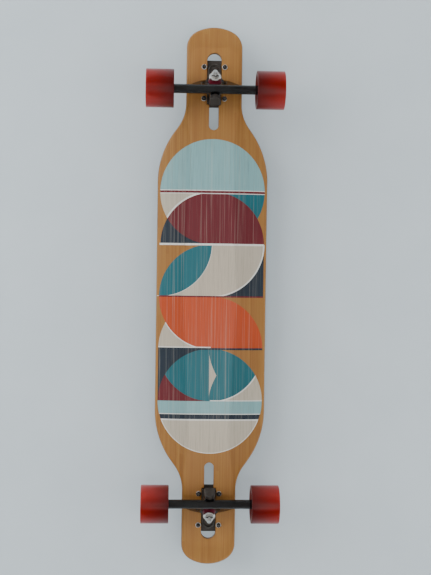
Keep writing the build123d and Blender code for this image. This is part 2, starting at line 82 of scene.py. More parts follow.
# ------------------------------------------------------------------ settings
def size(label, default, about):
    """A length that a user may change, in metres."""
    return FloatProperty(name=label, description=about, default=default, unit="LENGTH", subtype="DISTANCE",
                         precision=4, min=0.0)


def colour(label, default, about):
    """A surface colour that a user may change."""
    return FloatVectorProperty(name=label, description=about, default=default, size=3, subtype="COLOR",
                               min=0.0, max=1.0)


class BoardSizes(bpy.types.PropertyGroup):
    """Sizes of the deck, its side view, its outline and its truck cutouts."""

    length: size("Length", deck_high.x - deck_low.x, "From nose to tail")
    width: size("Width", deck_high.y - deck_low.y, "At the middle of the board")
    thickness: size("Thickness", 0.011, "Of the bamboo deck")
    grip: size("Grip", 0.0008, "Thickness of the grip sheet")
    grip_inset: size("Grip inset", 0.0012, "Bare wood left round the grip sheet")
    edge: size("Edge radius", 0.0042, "Of the rounded rim")
    underside: size("Underside", washers_high.z, "Height of the deck's underside at the trucks")
    nose: size("Nose width", 0.1126, "Of the narrow front end")
    tail: size("Tail width", 0.1088, "Of the narrow rear end")
    shoulder: size("Shoulder place", 0.2865, "Where the side line and the shoulder line would meet")
    shoulder_radius: size("Shoulder radius", 0.170, "Of the outline's outward bend")
    neck_radius: size("Neck radius", 0.080, "Of the outline's inward bend")
    corner: size("Tip corner radius", 0.038, "Of the outline beside the tips")
    crown: size("Tip crown depth", 0.0426, "From the tip back to the centre of its corner arc")
    camber: size("Camber", 0.006, "Rise of the middle over the truck pads")
    camber_blend: size("Camber blend", 0.080, "Length of the curve from a pad into the camber")
    tip_lift: size("Tip lift", 0.008, "Rise of the tips over the truck pads")
    pad: size("Truck pad", 0.104, "Length of the level stretch under a truck")
    spacing: size("Truck spacing", 0.8604, "Between the middles of the two bolt patterns")
    concave: size("Concave", 0.008, "Rise of the sides over the floor")
    floor: size("Concave floor", 0.064, "Width of the flat floor between the raised sides")
    cutout: size("Cutout width", 0.029, "Of the opening that the truck passes")
    cutout_outer: size("Cutout outer end", 0.060, "From the pattern's middle towards the tip")
    cutout_inner: size("Cutout inner end", 0.043, "From the pattern's middle towards the board's middle")
    slot: size("Slot width", 0.019, "Of the narrow end of the opening")
    slot_inner: size("Slot end", 0.0945, "From the pattern's middle to the end of the slot")
    eased: size("Eased edge", 0.0009, "Rounding of the opening's edges")
    motif: size("Motif radius", 0.1058, "Radius of the discs printed on the underside")


class FittingSizes(bpy.types.PropertyGroup):
    """Sizes of finish on the trucks, wheels and fasteners."""

    grain: size("Casting mesh", 0.0009, "Size of the even squares that a casting is meshed with")
    round_steps: IntProperty(name="Casting rounding", description="Smoothing steps of a casting's edges",
                             default=7, min=0, max=40)
    pitch: size("Kingpin thread pitch", 0.00106, "Of the kingpin's thread")
    fine_pitch: size("Axle thread pitch", 0.00106, "Of the thread on the axle's ends")
    bolt_pitch: size("Bolt thread pitch", 0.0008, "Of the mounting bolts' thread")
    thread_depth: size("Thread depth", 0.00035, "From crest to root")
    nut_collar: size("Nut collar", 0.0018, "Height of a lock nut's round collar")
    tread_radius: size("Tyre edge", 0.0015, "Rounding between the tread and the side of a tyre")
    lip: size("Tyre lip", 0.0050, "Flat ring between a tyre's edge and its dished side")
    dish: size("Tyre dish", 0.0070, "Depth of a tyre's dished side")
    mould_ridge: size("Mould ridge", 0.00018, "Height of the turned ridges on a tyre's side")


class BoardColours(bpy.types.PropertyGroup):
    """Colours of the wood, the printed motif, the trucks and the wheels."""

    bamboo: colour("Bamboo", (0.37, 0.175, 0.036), "Face veneer of the deck")
    bamboo_dark: colour("Bamboo fibre", (0.235, 0.090, 0.018), "Darker fibres in the veneer")
    sky: colour("Pale blue", (0.215, 0.405, 0.42), "Printed discs at the ends")
    maroon: colour("Maroon", (0.125, 0.005, 0.012), "Printed half disc")
    teal: colour("Teal", (0.0008, 0.115, 0.145), "Printed leaf and eye")
    navy: colour("Navy", (0.008, 0.018, 0.032), "Printed corners and bands")
    cream: colour("Cream", (0.50, 0.44, 0.345), "Printed pale fields")
    orange: colour("Orange", (0.47, 0.052, 0.002), "Printed half discs at the middle")
    white: colour("White", (0.78, 0.77, 0.72), "Printed outlines")
    paint: colour("Truck paint", (0.0022, 0.0022, 0.0025), "Gloss paint of the hangers")
    base: colour("Baseplate", (0.045, 0.038, 0.033), "Satin coat of the baseplates")
    wheel: colour("Wheel", (0.30, 0.0095, 0.0045), "Urethane of the tyres, where light gets through")
    # painted shade: the tyre's colour over the core, darker where the core shades the urethane
    wheel_core_shade: colour("Wheel shade", (0.085, 0.0035, 0.0035), "Urethane of the tyres, over the core")
    bushing: colour("Bushing", (0.115, 0.006, 0.018), "Urethane of the bushings")
    core: colour("Wheel core", (0.60, 0.56, 0.49), "Moulded cores of the wheels")


class StageSettings(bpy.types.PropertyGroup):
    """Floor, backdrop and camera."""

    reach: size("Stage reach", 5.0, "Half the width of the floor and the backdrop")
    backdrop: size("Backdrop height", 0.16, "Above the ground, over the board")
    floor_tone: colour("Floor", (0.66, 0.66, 0.65), "Pale floor")
    wall_tone: colour("Backdrop", (0.40, 0.45, 0.48), "Pale backdrop seen from below")
    lens: FloatProperty(name="Lens", description="Focal length of the camera", default=64.5, unit="CAMERA", min=1.0)


# ------------------------------------------------------------------ places and meshes
def unit(direction):
    """The direction with length one."""
    direction = np.asarray(direction, float)
    return direction / np.linalg.norm(direction)


def place_at(origin, axis, across=(0.0, 1.0, 0.0)):
    """Where a turned piece stands: its origin, and rows of its own x, y and z directions, z along the axis."""
    z = unit(axis)
    x = unit(np.asarray(across, float) - np.dot(across, z) * z)
    return np.asarray(origin, float), np.stack([x, np.cross(z, x), z])


def corners_of(node):
    """Every corner of a CAD node's mesh as rows of an array."""
    mesh = frame["nodes"][node].data
    flat = np.empty(3 * len(mesh.vertices), dtype=np.float32)
    mesh.vertices.foreach_get("co", flat)
    return flat.reshape(-1, 3).astype(float)


def reach_along(points, place):
    """Lowest and highest distance along the place's axis, and the largest and smallest radius about it."""
    origin, axes = place
    local = (points - origin) @ axes.T
    radius = np.hypot(local[:, 0], local[:, 1])
    return local[:, 2].min(), local[:, 2].max(), radius.max(), radius.min()


def rounded_path(corners, radii, steps=6, closed=False):
    """A line through the corners, each rounded by an arc of its own radius.

    The arc starts and ends radius times the tangent of half the turn from its corner, and its points
    turn evenly about the centre, which lies radius over the cosine of half the turn along the bisector.
    """
    corners = np.asarray(corners, float)
    count = len(corners)
    stretches = []
    for k, radius in enumerate(radii):
        if radius == 0 or (not closed and k in (0, count - 1)):
            stretches.append(corners[k:k + 1])
            continue
        back = unit(corners[k - 1] - corners[k])
        ahead = unit(corners[(k + 1) % count] - corners[k])
        turn = math.pi - math.acos(np.clip(back @ ahead, -1.0, 1.0))
        centre = corners[k] + unit(back + ahead) * radius / math.cos(turn / 2)
        start = corners[k] + back * radius * math.tan(turn / 2) - centre
        stop = corners[k] + ahead * radius * math.tan(turn / 2) - centre
        t = np.linspace(0.0, 1.0, steps + 1)[:, None]
        stretches.append(centre + (np.sin((1 - t) * turn) * start + np.sin(t * turn) * stop) / math.sin(turn))
    return np.vstack(stretches)


def grid_faces(rows, columns, closed_rows=False, closed_columns=True, first=0):
    """Corner numbers of the squares of a grid, row by row, whose ends may join up."""
    i = np.arange(rows if closed_rows else rows - 1)[:, None]
    j = np.arange(columns if closed_columns else columns - 1)[None, :]
    over, right = (i + 1) % rows, (j + 1) % columns
    quads = np.stack([i * columns + j, i * columns + right, over * columns + right, over * columns + j], axis=-1)
    return quads.reshape(-1, 4) + first


def turned(profile, place, segments=72, shape=None):
    """A profile of (radius, height) rows carried round the place's axis.

    The profile runs anticlockwise with the radius to the right. It closes on itself unless it starts and
    ends on the axis. shape, if given, bends the radius as a function of angle, radius and height.
    """
    profile = np.asarray(profile, float)
    origin, axes = place
    angle = 2 * math.pi * np.arange(segments)[None, :] / segments
    radius = np.repeat(profile[:, :1], segments, axis=1)
    height = np.repeat(profile[:, 1:], segments, axis=1)
    if shape:
        radius = shape(angle, radius, height)
    local = np.stack([radius * np.cos(angle), radius * np.sin(angle), height], axis=-1).reshape(-1, 3)
    solid = profile[0, 0] < 1e-7 and profile[-1, 0] < 1e-7
    return local @ axes + origin, grid_faces(len(profile), segments, closed_rows=not solid)


def joined(parts):
    """Several (points, faces) pairs as one."""
    shift = np.cumsum([0] + [len(points) for points, _ in parts[:-1]])
    return (np.vstack([points for points, _ in parts]),
            np.vstack([faces + first for (_, faces), first in zip(parts, shift)]))


def sharpen(mesh, degrees=38.0):
    """Smooth shading that breaks where faces meet at more than the given angle."""
    mesh.shade_smooth()
    mesh.set_sharp_from_angle(angle=math.radians(degrees))


def piece(name, surface, material, body, nodes=(), degrees=38.0, attribute=None):
    """Makes a piece from (points, faces), closes its seams and poles, and puts it on its body."""
    points, faces = surface
    mesh = bpy.data.meshes.new(name)
    mesh.from_pydata(points.tolist(), [], faces.tolist())
    if attribute is not None:
        layer = mesh.attributes.new(attribute[0], "FLOAT", "POINT")
        layer.data.foreach_set("value", attribute[1].astype(np.float32))
    soft = bmesh.new()
    soft.from_mesh(mesh)
    bmesh.ops.remove_doubles(soft, verts=soft.verts, dist=1e-6)
    bmesh.ops.recalc_face_normals(soft, faces=soft.faces)
    soft.to_mesh(mesh)
    soft.free()
    return finished(name, mesh, material, body, nodes, degrees)


def finished(name, mesh, material, body, nodes=(), degrees=38.0):
    """Puts a mesh into the scene as a finished piece that stands for its CAD nodes."""
    obj = bpy.data.objects.new(name, mesh)
    bpy.context.scene.collection.objects.link(obj)
    mesh.materials.clear()
    mesh.materials.append(material)
    sharpen(mesh, degrees)
    if nodes:
        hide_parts(*nodes)
    if body:
        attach(obj, body)
    return obj


def applied(obj):
    """The object's mesh with its modifiers applied; the object itself is removed."""
    depsgraph = bpy.context.evaluated_depsgraph_get()
    mesh = bpy.data.meshes.new_from_object(obj.evaluated_get(depsgraph))
    bpy.data.objects.remove(obj)
    return mesh


def truck_places(truck, end):
    """Where a truck's kingpin stands and the middle of its axle."""
    steer = joints[f"{truck}_steer"]
    axle = joints[f"{truck}_left_spin"]["pos_m"]
    ring = np.array(steer["pos_m"])
    kingpin = unit(np.cross((0.0, end, 0.0), steer["axis"]))
    kingpin = kingpin if kingpin[2] < 0 else -kingpin
    return {"kingpin": place_at(ring, kingpin), "axle": np.array(axle)}


def hex_shape(flats):
    """Keeps a turned surface inside six flats: a radius is at most half the flats over the cosine of the
    angle from the nearest flat's middle."""
    def shape(angle, radius, height):
        off = (angle + math.pi / 6) % (math.pi / 3) - math.pi / 6
        return np.minimum(radius, flats / 2 / np.cos(off))
    return shape


def thread_shape(crest, depth, pitch, low, high):
    """Cuts a thread between two heights: a triangle wave of height over pitch less angle over a full turn."""
    def shape(angle, radius, height):
        wave = np.abs(((height / pitch - angle / (2 * math.pi)) % 1.0) * 2 - 1)
        inside = (height > low) & (height < high) & (radius > crest - 1e-6)
        return np.where(inside, radius - depth * wave, radius)
    return shape


def lock_nut(place, start, height, flats, bore, collar):
    """A lock nut: six chamfered flats, then a round collar that holds the nylon ring."""
    corner = flats / 2 / math.cos(math.pi / 6)
    cut = (corner - flats / 2) * 0.9
    shoulder = height - collar
    outline = [(bore, 0.0), (corner - cut, 0.0), (corner, cut * 0.6), (corner, shoulder - cut * 0.6),
               (corner - cut, shoulder), (flats / 2 * 0.93, shoulder), (flats / 2 * 0.86, height),
               (bore * 1.12, height), (bore, height - 0.3 * collar)]
    radii = [0, 0, 0, 0, 0, 0, collar * 0.45, collar * 0.2, 0]
    profile = rounded_path(outline, radii, steps=4, closed=True)
    profile[:, 1] += start
    return turned(profile, place, 72, hex_shape(flats))


def ring_profile(inner, outer, low, high, edge, steps=3):
    """Section of a plain ring with rounded corners."""
    return rounded_path([(inner, low), (outer, low), (outer, high), (inner, high)], [edge] * 4, steps, closed=True)


# ------------------------------------------------------------------ node helpers
class Wiring:
    """Adds nodes to a tree; a value may be a number, a colour or another node's socket."""

    def __init__(self, tree):
        self.tree = tree

    def feed(self, socket, value):
        if isinstance(value, bpy.types.NodeSocket):
            self.tree.links.new(value, socket)
        else:
            socket.default_value = value

    def add(self, kind, values=None, **settings):
        node = self.tree.nodes.new(kind)
        for key, setting in settings.items():
            setattr(node, key, setting)
        for key, value in (values or {}).items():
            self.feed(node.inputs[key], value)
        return node

    def math(self, operation, *values):
        node = self.add("ShaderNodeMath", operation=operation)
        for k, value in enumerate(values):
            self.feed(node.inputs[k], value)
        return node.outputs[0]

    def both(self, *masks):
        """All the masks at once: their product."""
        out = masks[0]
        for mask in masks[1:]:
            out = self.math("MULTIPLY", out, mask)
        return out

    def without(self, mask):
        """Everywhere that the mask isn't."""
        return self.math("SUBTRACT", 1.0, mask)

    def mix(self, factor, first, second, blend="MIX"):
        node = self.add("ShaderNodeMix", data_type="RGBA", blend_type=blend)
        self.feed(node.inputs[0], factor)
        self.feed(node.inputs[6], full(first))
        self.feed(node.inputs[7], full(second))
        return node.outputs[2]

    def spread(self, value, low, high, to_low=0.0, to_high=1.0):
        """Maps a range of values onto another and stops at its ends."""
        node = self.add("ShaderNodeMapRange", {"Value": value, "From Min": low, "From Max": high,
                                               "To Min": to_low, "To Max": to_high})
        return node.outputs[0]

    def noise(self, vector, scale, detail=3.0, rough=0.55, distortion=0.0):
        return self.add("ShaderNodeTexNoise", {"Vector": vector, "Scale": scale, "Detail": detail,
                                               "Roughness": rough, "Distortion": distortion}).outputs[0]

    def stretched(self, vector, scale):
        return self.add("ShaderNodeMapping", {"Vector": vector, "Scale": scale}).outputs[0]


def full(value):
    """A colour with its fourth number."""
    if isinstance(value, bpy.types.NodeSocket) or isinstance(value, (int, float)):
        return value
    return tuple(value)[:3] + (1.0,)


def effect(name, inputs, outputs):
    """A new node group with named number or colour sockets, and the wiring to fill it."""
    group = bpy.data.node_groups.new(name, "ShaderNodeTree")
    kinds = {"value": "NodeSocketFloat", "colour": "NodeSocketColor", "vector": "NodeSocketVector"}
    for label, kind, default in inputs:
        socket = group.interface.new_socket(name=label, in_out="INPUT", socket_type=kinds[kind])
        if default is not None:
            socket.default_value = default
    for label, kind in outputs:
        group.interface.new_socket(name=label, in_out="OUTPUT", socket_type=kinds[kind])
    wiring = Wiring(group)
    return group, wiring, wiring.add("NodeGroupInput"), wiring.add("NodeGroupOutput")


def speckle_effect():
    """Fine cast or moulded unevenness: a height and a mask of small scuffs from two noises."""
    group, w, given, out = effect("surface_unevenness", [("Coarse", "value", 90.0), ("Fine", "value", 900.0)],
                                  [("Height", "value"), ("Scuffs", "value")])
    place = w.add("ShaderNodeTexCoord").outputs["Object"]
    coarse = w.noise(place, given.outputs["Coarse"], 4.0)
    fine = w.noise(place, given.outputs["Fine"], 2.0)
    height = w.math("ADD", w.math("MULTIPLY", coarse, 0.6), w.math("MULTIPLY", fine, 0.4))
    scuffs = w.spread(w.noise(w.stretched(place, (1.0, 0.35, 1.0)), given.outputs["Fine"], 5.0, 0.7), 0.56, 0.74)
    w.feed(out.inputs["Height"], height)
    w.feed(out.inputs["Scuffs"], scuffs)
    return group


def worn_and_highlit_edge_effect():
    """Worn edges, which also stand in for a painted highlight along rounded edges: where the surface is sharply
    convex, broken up by noise.
    """
    group, w, given, out = effect("worn_and_highlit_edges", [("Start", "value", 0.53), ("Full", "value", 0.60)],
                                  [("Mask", "value")])
    point = w.add("ShaderNodeNewGeometry").outputs["Pointiness"]
    place = w.add("ShaderNodeTexCoord").outputs["Object"]
    patchy = w.spread(w.noise(place, 240.0, 4.0, 0.65), 0.42, 0.62)
    edge = w.spread(point, given.outputs["Start"], given.outputs["Full"])
    w.feed(out.inputs["Mask"], w.math("MULTIPLY", edge, patchy))
    return group


def grain_effect():
    """Bamboo veneer: narrow strips of slightly different tone with long fine fibres along the board.

    A strip's tone is a random number of its row, fibres are noise stretched a hundredfold along the
    board, and the dark flecks are a second, shorter stretched noise.
    """
    group, w, given, out = effect("bamboo_grain", [("Strip", "value", 150.0)],
                                  [("Tone", "value"), ("Fibre", "value"), ("Fleck", "value")])
    place = w.add("ShaderNodeTexCoord").outputs["Object"]
    parts = w.add("ShaderNodeSeparateXYZ", {0: place})
    row = w.math("FLOOR", w.math("MULTIPLY", parts.outputs[1], given.outputs["Strip"]))
    length = w.math("FLOOR", w.math("ADD", w.math("MULTIPLY", parts.outputs[0], 2.1),
                                    w.math("MULTIPLY", row, 0.37)))
    random = w.add("ShaderNodeTexWhiteNoise", noise_dimensions="2D")
    w.feed(random.inputs["Vector"], w.add("ShaderNodeCombineXYZ", {0: row, 1: length}).outputs[0])
    w.feed(out.inputs["Tone"], random.outputs["Value"])
    w.feed(out.inputs["Fibre"], w.noise(w.stretched(place, (3.0, 420.0, 60.0)), 1.0, 6.0, 0.65))
    w.feed(out.inputs["Fleck"], w.noise(w.stretched(place, (16.0, 900.0, 60.0)), 1.0, 3.0, 0.7))
    return group


def shader(name):
    """A new material with the wiring of its own tree and its main shader."""
    material = bpy.data.materials.new(name)
    material.use_nodes = True
    tree = material.node_tree
    return material, Wiring(tree), tree.nodes["Principled BSDF"]


def use(w, group, **values):
    """A shared effect placed in a material with its own values."""
    node = w.add("ShaderNodeGroup", node_tree=group)
    for key, value in values.items():
        w.feed(node.inputs[key], value)
    return node


def raised(w, height, distance, strength=0.5, before=None):
    """A bump of the given height in metres, on top of an earlier one if there is one."""
    node = w.add("ShaderNodeBump", {"Height": height, "Distance": distance, "Strength": strength})
    if before is not None:
        w.feed(node.inputs["Normal"], before)
    return node.outputs[0]


def deck_material(colours, motif, groups):
    """Lacquered bamboo with plies on its rim and flat discs, half discs and a leaf printed underneath."""
    material, w, main = shader("lacquered_bamboo")
    grain = use(w, groups["grain"])
    tone, fibre, fleck = (grain.outputs[k] for k in ("Tone", "Fibre", "Fleck"))
    shade = w.math("ADD", w.math("MULTIPLY", tone, 0.30), w.spread(fibre, 0.25, 0.75, 0.0, 0.75))
    wood = w.mix(shade, colours.bamboo_dark, colours.bamboo)
    wood = w.mix(w.spread(fleck, 0.60, 0.78, 0.0, 0.30), wood, (0.20, 0.09, 0.03))
    wood = w.mix(w.spread(fibre, 0.58, 0.80, 0.0, 0.40), wood, (0.52, 0.29, 0.095))

    place = w.add("ShaderNodeTexCoord").outputs["Object"]
    parts = w.add("ShaderNodeSeparateXYZ", {0: place})
    u = w.math("DIVIDE", parts.outputs[0], motif)
    v = w.math("DIVIDE", parts.outputs[1], motif)

    def distance(centre_u, centre_v=0.0):
        du, dv = w.math("SUBTRACT", u, centre_u), w.math("SUBTRACT", v, centre_v)
        return w.math("SQRT", w.math("ADD", w.math("MULTIPLY", du, du), w.math("MULTIPLY", dv, dv)))

    def inside(far):
        return w.math("LESS_THAN", far, 1.0)

    def band(low, high):
        return w.both(w.math("GREATER_THAN", u, low), w.math("LESS_THAN", u, high))

    def line(far, width=0.013):
        return w.math("COMPARE", far, 1.0, width)

    far = {k: distance(k) for k in (2, 1, 0, -1, -2)}
    disc = {k: inside(far[k]) for k in far}
    corner = distance(1, -1)
    quarter = inside(corner)
    left, right = w.math("LESS_THAN", v, 0.0), w.math("GREATER_THAN", v, 0.0)
    within = w.math("LESS_THAN", w.math("ABSOLUTE", v), 1.0)
    bands = {k: band(k - 1, k) for k in (3, 2, 1, 0, -1, -2)}
    sail_half = w.math("DIVIDE", w.math("ADD", u, 1.51), 0.415)
    sail_width = w.math("POWER", w.math("MAXIMUM", w.without(w.math("ABSOLUTE", sail_half)), 0.0), 1.6)
    sail = w.both(w.math("GREATER_THAN", v, -0.022),
                  w.math("LESS_THAN", v, w.math("SUBTRACT", w.math("MULTIPLY", sail_width, 0.14), 0.022)))
    # lengths are in disc radii from here on, u along the board and v across it; later prints cover earlier ones
    c = colours
    prints = [
        (w.both(bands[3], disc[2]), c.sky),
        (w.both(bands[2], disc[2], left), c.cream),
        (w.both(bands[2], disc[2], right), c.teal),
        (w.both(bands[2], disc[2], line(far[1], 0.016), left), c.white),
        (w.both(bands[2], w.math("LESS_THAN", far[1], 0.985), left), c.navy),
        (w.both(bands[2], disc[1], right), c.maroon),
        (w.both(bands[2], w.math("LESS_THAN", far[1], 0.985), disc[2]), c.maroon),
        (w.both(bands[1], right, within), c.navy),
        (w.both(bands[1], right, disc[1]), c.cream),
        (w.both(bands[1], left, within, w.without(quarter)), c.cream),
        (w.both(bands[1], right, line(far[1])), c.white),
        (w.both(bands[1], line(corner, 0.008)), c.white),
        (w.both(bands[1], quarter, disc[0]), c.teal),
        (w.both(bands[0], left, disc[-1]), c.cream),
        (w.both(bands[0], left, w.math("LESS_THAN", far[0], 1.018), disc[-1]), c.white),
        (w.both(bands[0], left, disc[0]), c.orange),
        (w.both(bands[0], right, disc[-1]), c.orange),
        (w.both(bands[-1], left, within), c.navy),
        (w.both(bands[-1], left, disc[-2]), c.maroon),
        (w.both(bands[-1], right, disc[-2]), c.cream),
        (w.both(bands[-1], right, disc[-2], w.math("LESS_THAN", far[-1], 1.022)), c.white),
        (w.both(bands[-1], disc[-1], disc[-2]), c.teal),
        (w.both(bands[-1], disc[-1], sail), c.cream),
        (w.both(bands[-2], disc[-2]), c.white),
        (w.both(bands[-2], w.math("LESS_THAN", far[-2], 0.985)), c.cream),
        (w.both(band(-2.25, -2.0), disc[-2]), c.sky),
        (w.both(band(-2.372, -2.24), disc[-2]), c.white),
        (w.both(band(-2.345, -2.255), disc[-2]), c.navy),
        (w.both(band(1.962, 2.034), within), c.white),
        (w.both(band(1.976, 2.020), within), c.maroon),
        (w.both(band(0.978, 1.016), within), c.white),
        (w.both(band(-0.014, 0.014), within), c.maroon),
        (w.both(band(-0.984, -0.962), within, left), c.white),
        (w.both(band(-1.020, -0.982), within), c.navy),
        (w.both(band(-2.0, -1.982), disc[-2], right), c.white),
    ]
    art, printed = wood, 0.0
    for mask, paint in prints:
        art = w.mix(mask, art, paint)
        printed = w.math("MAXIMUM", printed, mask)
    # the print is thin: pale and dark fibres show through it
    threads = w.math("MULTIPLY", w.spread(fibre, 0.52, 0.78, 0.0, 0.34), printed)
    art = w.mix(threads, art, (0.62, 0.56, 0.46))
    art = w.mix(w.math("MULTIPLY", w.spread(fleck, 0.50, 0.30, 0.0, 0.30), printed), art, (0.03, 0.025, 0.02))

    ply = w.add("ShaderNodeAttribute", attribute_name="ply").outputs["Fac"]
    stripe = w.math("FLOOR", w.math("MULTIPLY", ply, 5.0))
    odd = w.math("MODULO", stripe, 2.0)
    rim = w.mix(odd, w.mix(shade, (0.20, 0.10, 0.035), (0.34, 0.19, 0.075)),
                w.mix(shade, (0.11, 0.05, 0.018), (0.20, 0.105, 0.04)))
    side = w.both(w.math("GREATER_THAN", ply, 0.10), w.math("LESS_THAN", ply, 0.93))
    under = w.math("LESS_THAN", ply, 0.10)
    surface = w.mix(under, wood, art)
    w.feed(main.inputs["Base Color"], w.mix(side, surface, rim))
    rough = w.spread(fibre, 0.3, 0.7, 0.36, 0.50)
    w.feed(main.inputs["Roughness"], w.math("ADD", rough, w.math("MULTIPLY", side, 0.15)))
    height = w.math("ADD", w.math("MULTIPLY", fibre, 0.7), w.math("MULTIPLY", fleck, 0.3))
    w.feed(main.inputs["Normal"], raised(w, height, 0.00025, 0.35))
    main.inputs["Specular IOR Level"].default_value = 0.32
    main.inputs["Coat Weight"].default_value = 0.10
    main.inputs["Coat Roughness"].default_value = 0.20
    return material


def grip_material():
    """Black grit: dense sharp grains, a few of them glinting, with scuffed pale patches where feet stand."""
    material, w, main = shader("grip_grit")
    place = w.add("ShaderNodeTexCoord").outputs["Object"]
    grains = w.add("ShaderNodeTexVoronoi", {"Vector": place, "Scale": 1400.0})
    fine = w.noise(place, 2600.0, 2.0)
    dust = w.spread(w.noise(w.stretched(place, (3.0, 9.0, 1.0)), 2.0, 5.0), 0.50, 0.75, 0.0, 0.35)
    glint = w.math("GREATER_THAN", w.add("ShaderNodeSeparateColor", {0: grains.outputs["Color"]}).outputs[0], 0.93)
    base = w.mix(dust, (0.012, 0.012, 0.013), (0.055, 0.052, 0.048))
    w.feed(main.inputs["Base Color"], w.mix(w.math("MULTIPLY", glint, 0.5), base, (0.16, 0.16, 0.17)))
    w.feed(main.inputs["Roughness"], w.spread(fine, 0.3, 0.7, 0.65, 0.95))
    height = w.math("ADD", grains.outputs["Distance"], w.math("MULTIPLY", fine, 0.5))
    w.feed(main.inputs["Normal"], raised(w, height, 0.0006, 0.8))
    return material


def painted_material(name, tone, bare_metal_and_highlight, rough, groups, coat=0.0, bump=0.00012, metal=0.0):
    """A painted casting: cast unevenness under the coat, small scuffs, and paler bare metal on its sharp edges,
    partly worn paint and partly a painted highlight.
    """
    material, w, main = shader(name)
    uneven = use(w, groups["speckle"], Coarse=130.0, Fine=1300.0)
    worn_and_highlit = use(w, groups["worn_and_highlit"]).outputs["Mask"]
    scuffs = w.math("MULTIPLY", uneven.outputs["Scuffs"], 0.10)
    base = w.mix(scuffs, tone, tuple(min(1.0, 3.0 * t + 0.01) for t in tone))
    # paler bare metal on sharp edges: partly worn paint, partly a painted highlight along the edges
    w.feed(main.inputs["Base Color"], w.mix(worn_and_highlit, base, bare_metal_and_highlight))
    w.feed(main.inputs["Metallic"], w.math("MAXIMUM", w.math("MULTIPLY", worn_and_highlit, 0.9), metal))
    w.feed(main.inputs["Roughness"], w.math("ADD", rough, w.math("MULTIPLY", uneven.outputs["Scuffs"], 0.22)))
    w.feed(main.inputs["Normal"], raised(w, uneven.outputs["Height"], bump, 0.5))
    main.inputs["Specular IOR Level"].default_value = 0.35
    main.inputs["Coat Weight"].default_value = coat
    main.inputs["Coat Roughness"].default_value = 0.06
    return material


def metal_material(name, tone, rough, groups, tarnish=(0.30, 0.28, 0.25), scratch=0.00004):
    """Turned or plated steel: fine scratches, faint tarnish and uneven roughness."""
    material, w, main = shader(name)
    uneven = use(w, groups["speckle"], Coarse=180.0, Fine=2400.0)
    stain = w.spread(uneven.outputs["Height"], 0.50, 0.66, 0.0, 0.45)
    w.feed(main.inputs["Base Color"], w.mix(stain, tone, tarnish))
    w.feed(main.inputs["Roughness"], w.math("ADD", rough, w.math("MULTIPLY", uneven.outputs["Scuffs"], 0.20)))
    w.feed(main.inputs["Normal"], raised(w, uneven.outputs["Height"], scratch, 0.5))
    main.inputs["Metallic"].default_value = 1.0
    return material


def urethane_material(name, tone, deep_tone_and_core_shade, groups, middle=None, half=0.03, sheen=0.30):
    """Cast urethane: light scatters in it, painted shade makes it darker over the core, and its skin is lightly
    scuffed.

    The painted shade of the core follows the distance from the middle of the wheel along the axle.
    """
    material, w, main = shader(name)
    uneven = use(w, groups["speckle"], Coarse=60.0, Fine=700.0)
    base = w.mix(w.spread(uneven.outputs["Height"], 0.4, 0.7, 0.0, 0.25), tone, deep_tone_and_core_shade)
    # painted shade of the core: the tyre darkens towards the middle of the wheel along the axle
    if middle is not None:
        place = w.add("ShaderNodeSeparateXYZ", {0: w.add("ShaderNodeTexCoord").outputs["Object"]})
        out = w.math("DIVIDE", w.math("SUBTRACT", w.math("ABSOLUTE", place.outputs[1]), middle), half)
        depth = w.spread(w.math("ADD", out, 0.15), -0.9, 1.0, 1.0, 0.0)
        base = w.mix(w.math("POWER", depth, 1.1), base, deep_tone_and_core_shade)
    w.feed(main.inputs["Base Color"], base)
    w.feed(main.inputs["Roughness"], w.math("ADD", sheen, w.math("MULTIPLY", uneven.outputs["Scuffs"], 0.18)))
    w.feed(main.inputs["Normal"], raised(w, uneven.outputs["Height"], 0.0001, 0.4))
    main.inputs["Subsurface Weight"].default_value = 0.25
    main.inputs["Subsurface Radius"].default_value = (1.0, 0.12, 0.06)
    main.inputs["Subsurface Scale"].default_value = 0.006
    return material


def moulded_material(name, tone, rough, groups):
    """Moulded plastic or rubber with a fine skin and a little dust in its hollows."""
    material, w, main = shader(name)
    uneven = use(w, groups["speckle"], Coarse=110.0, Fine=1500.0)
    dust = w.spread(uneven.outputs["Height"], 0.50, 0.62, 0.0, 0.35)
    w.feed(main.inputs["Base Color"], w.mix(dust, tone, tuple(0.6 * t + 0.05 for t in tone)))
    w.feed(main.inputs["Roughness"], w.math("ADD", rough, w.math("MULTIPLY", uneven.outputs["Scuffs"], 0.2)))
    w.feed(main.inputs["Normal"], raised(w, uneven.outputs["Height"], 0.00008, 0.5))
    return material


def seen_one_way(name, tone, glow):
    """A pale matt surface that only shows from its front, so the other side can be looked through.

    It glows a little, as a wall does that the rest of a room lights.
    """
    material, w, main = shader(name)
    place = w.add("ShaderNodeTexCoord").outputs["Object"]
    fine = w.noise(place, 6.0, 4.0)
    w.feed(main.inputs["Base Color"], w.mix(w.spread(fine, 0.3, 0.7, 0.0, 0.06), tone, (0.9, 0.9, 0.9)))
    main.inputs["Roughness"].default_value = 0.9
    main.inputs["Emission Color"].default_value = full(tone)
    main.inputs["Emission Strength"].default_value = glow
    clear = w.add("ShaderNodeBsdfTransparent")
    choose = w.add("ShaderNodeMixShader", {0: w.add("ShaderNodeNewGeometry").outputs["Backfacing"],
                                           1: main.outputs[0], 2: clear.outputs[0]})
    w.feed(material.node_tree.nodes["Material Output"].inputs["Surface"], choose.outputs[0])
    return material


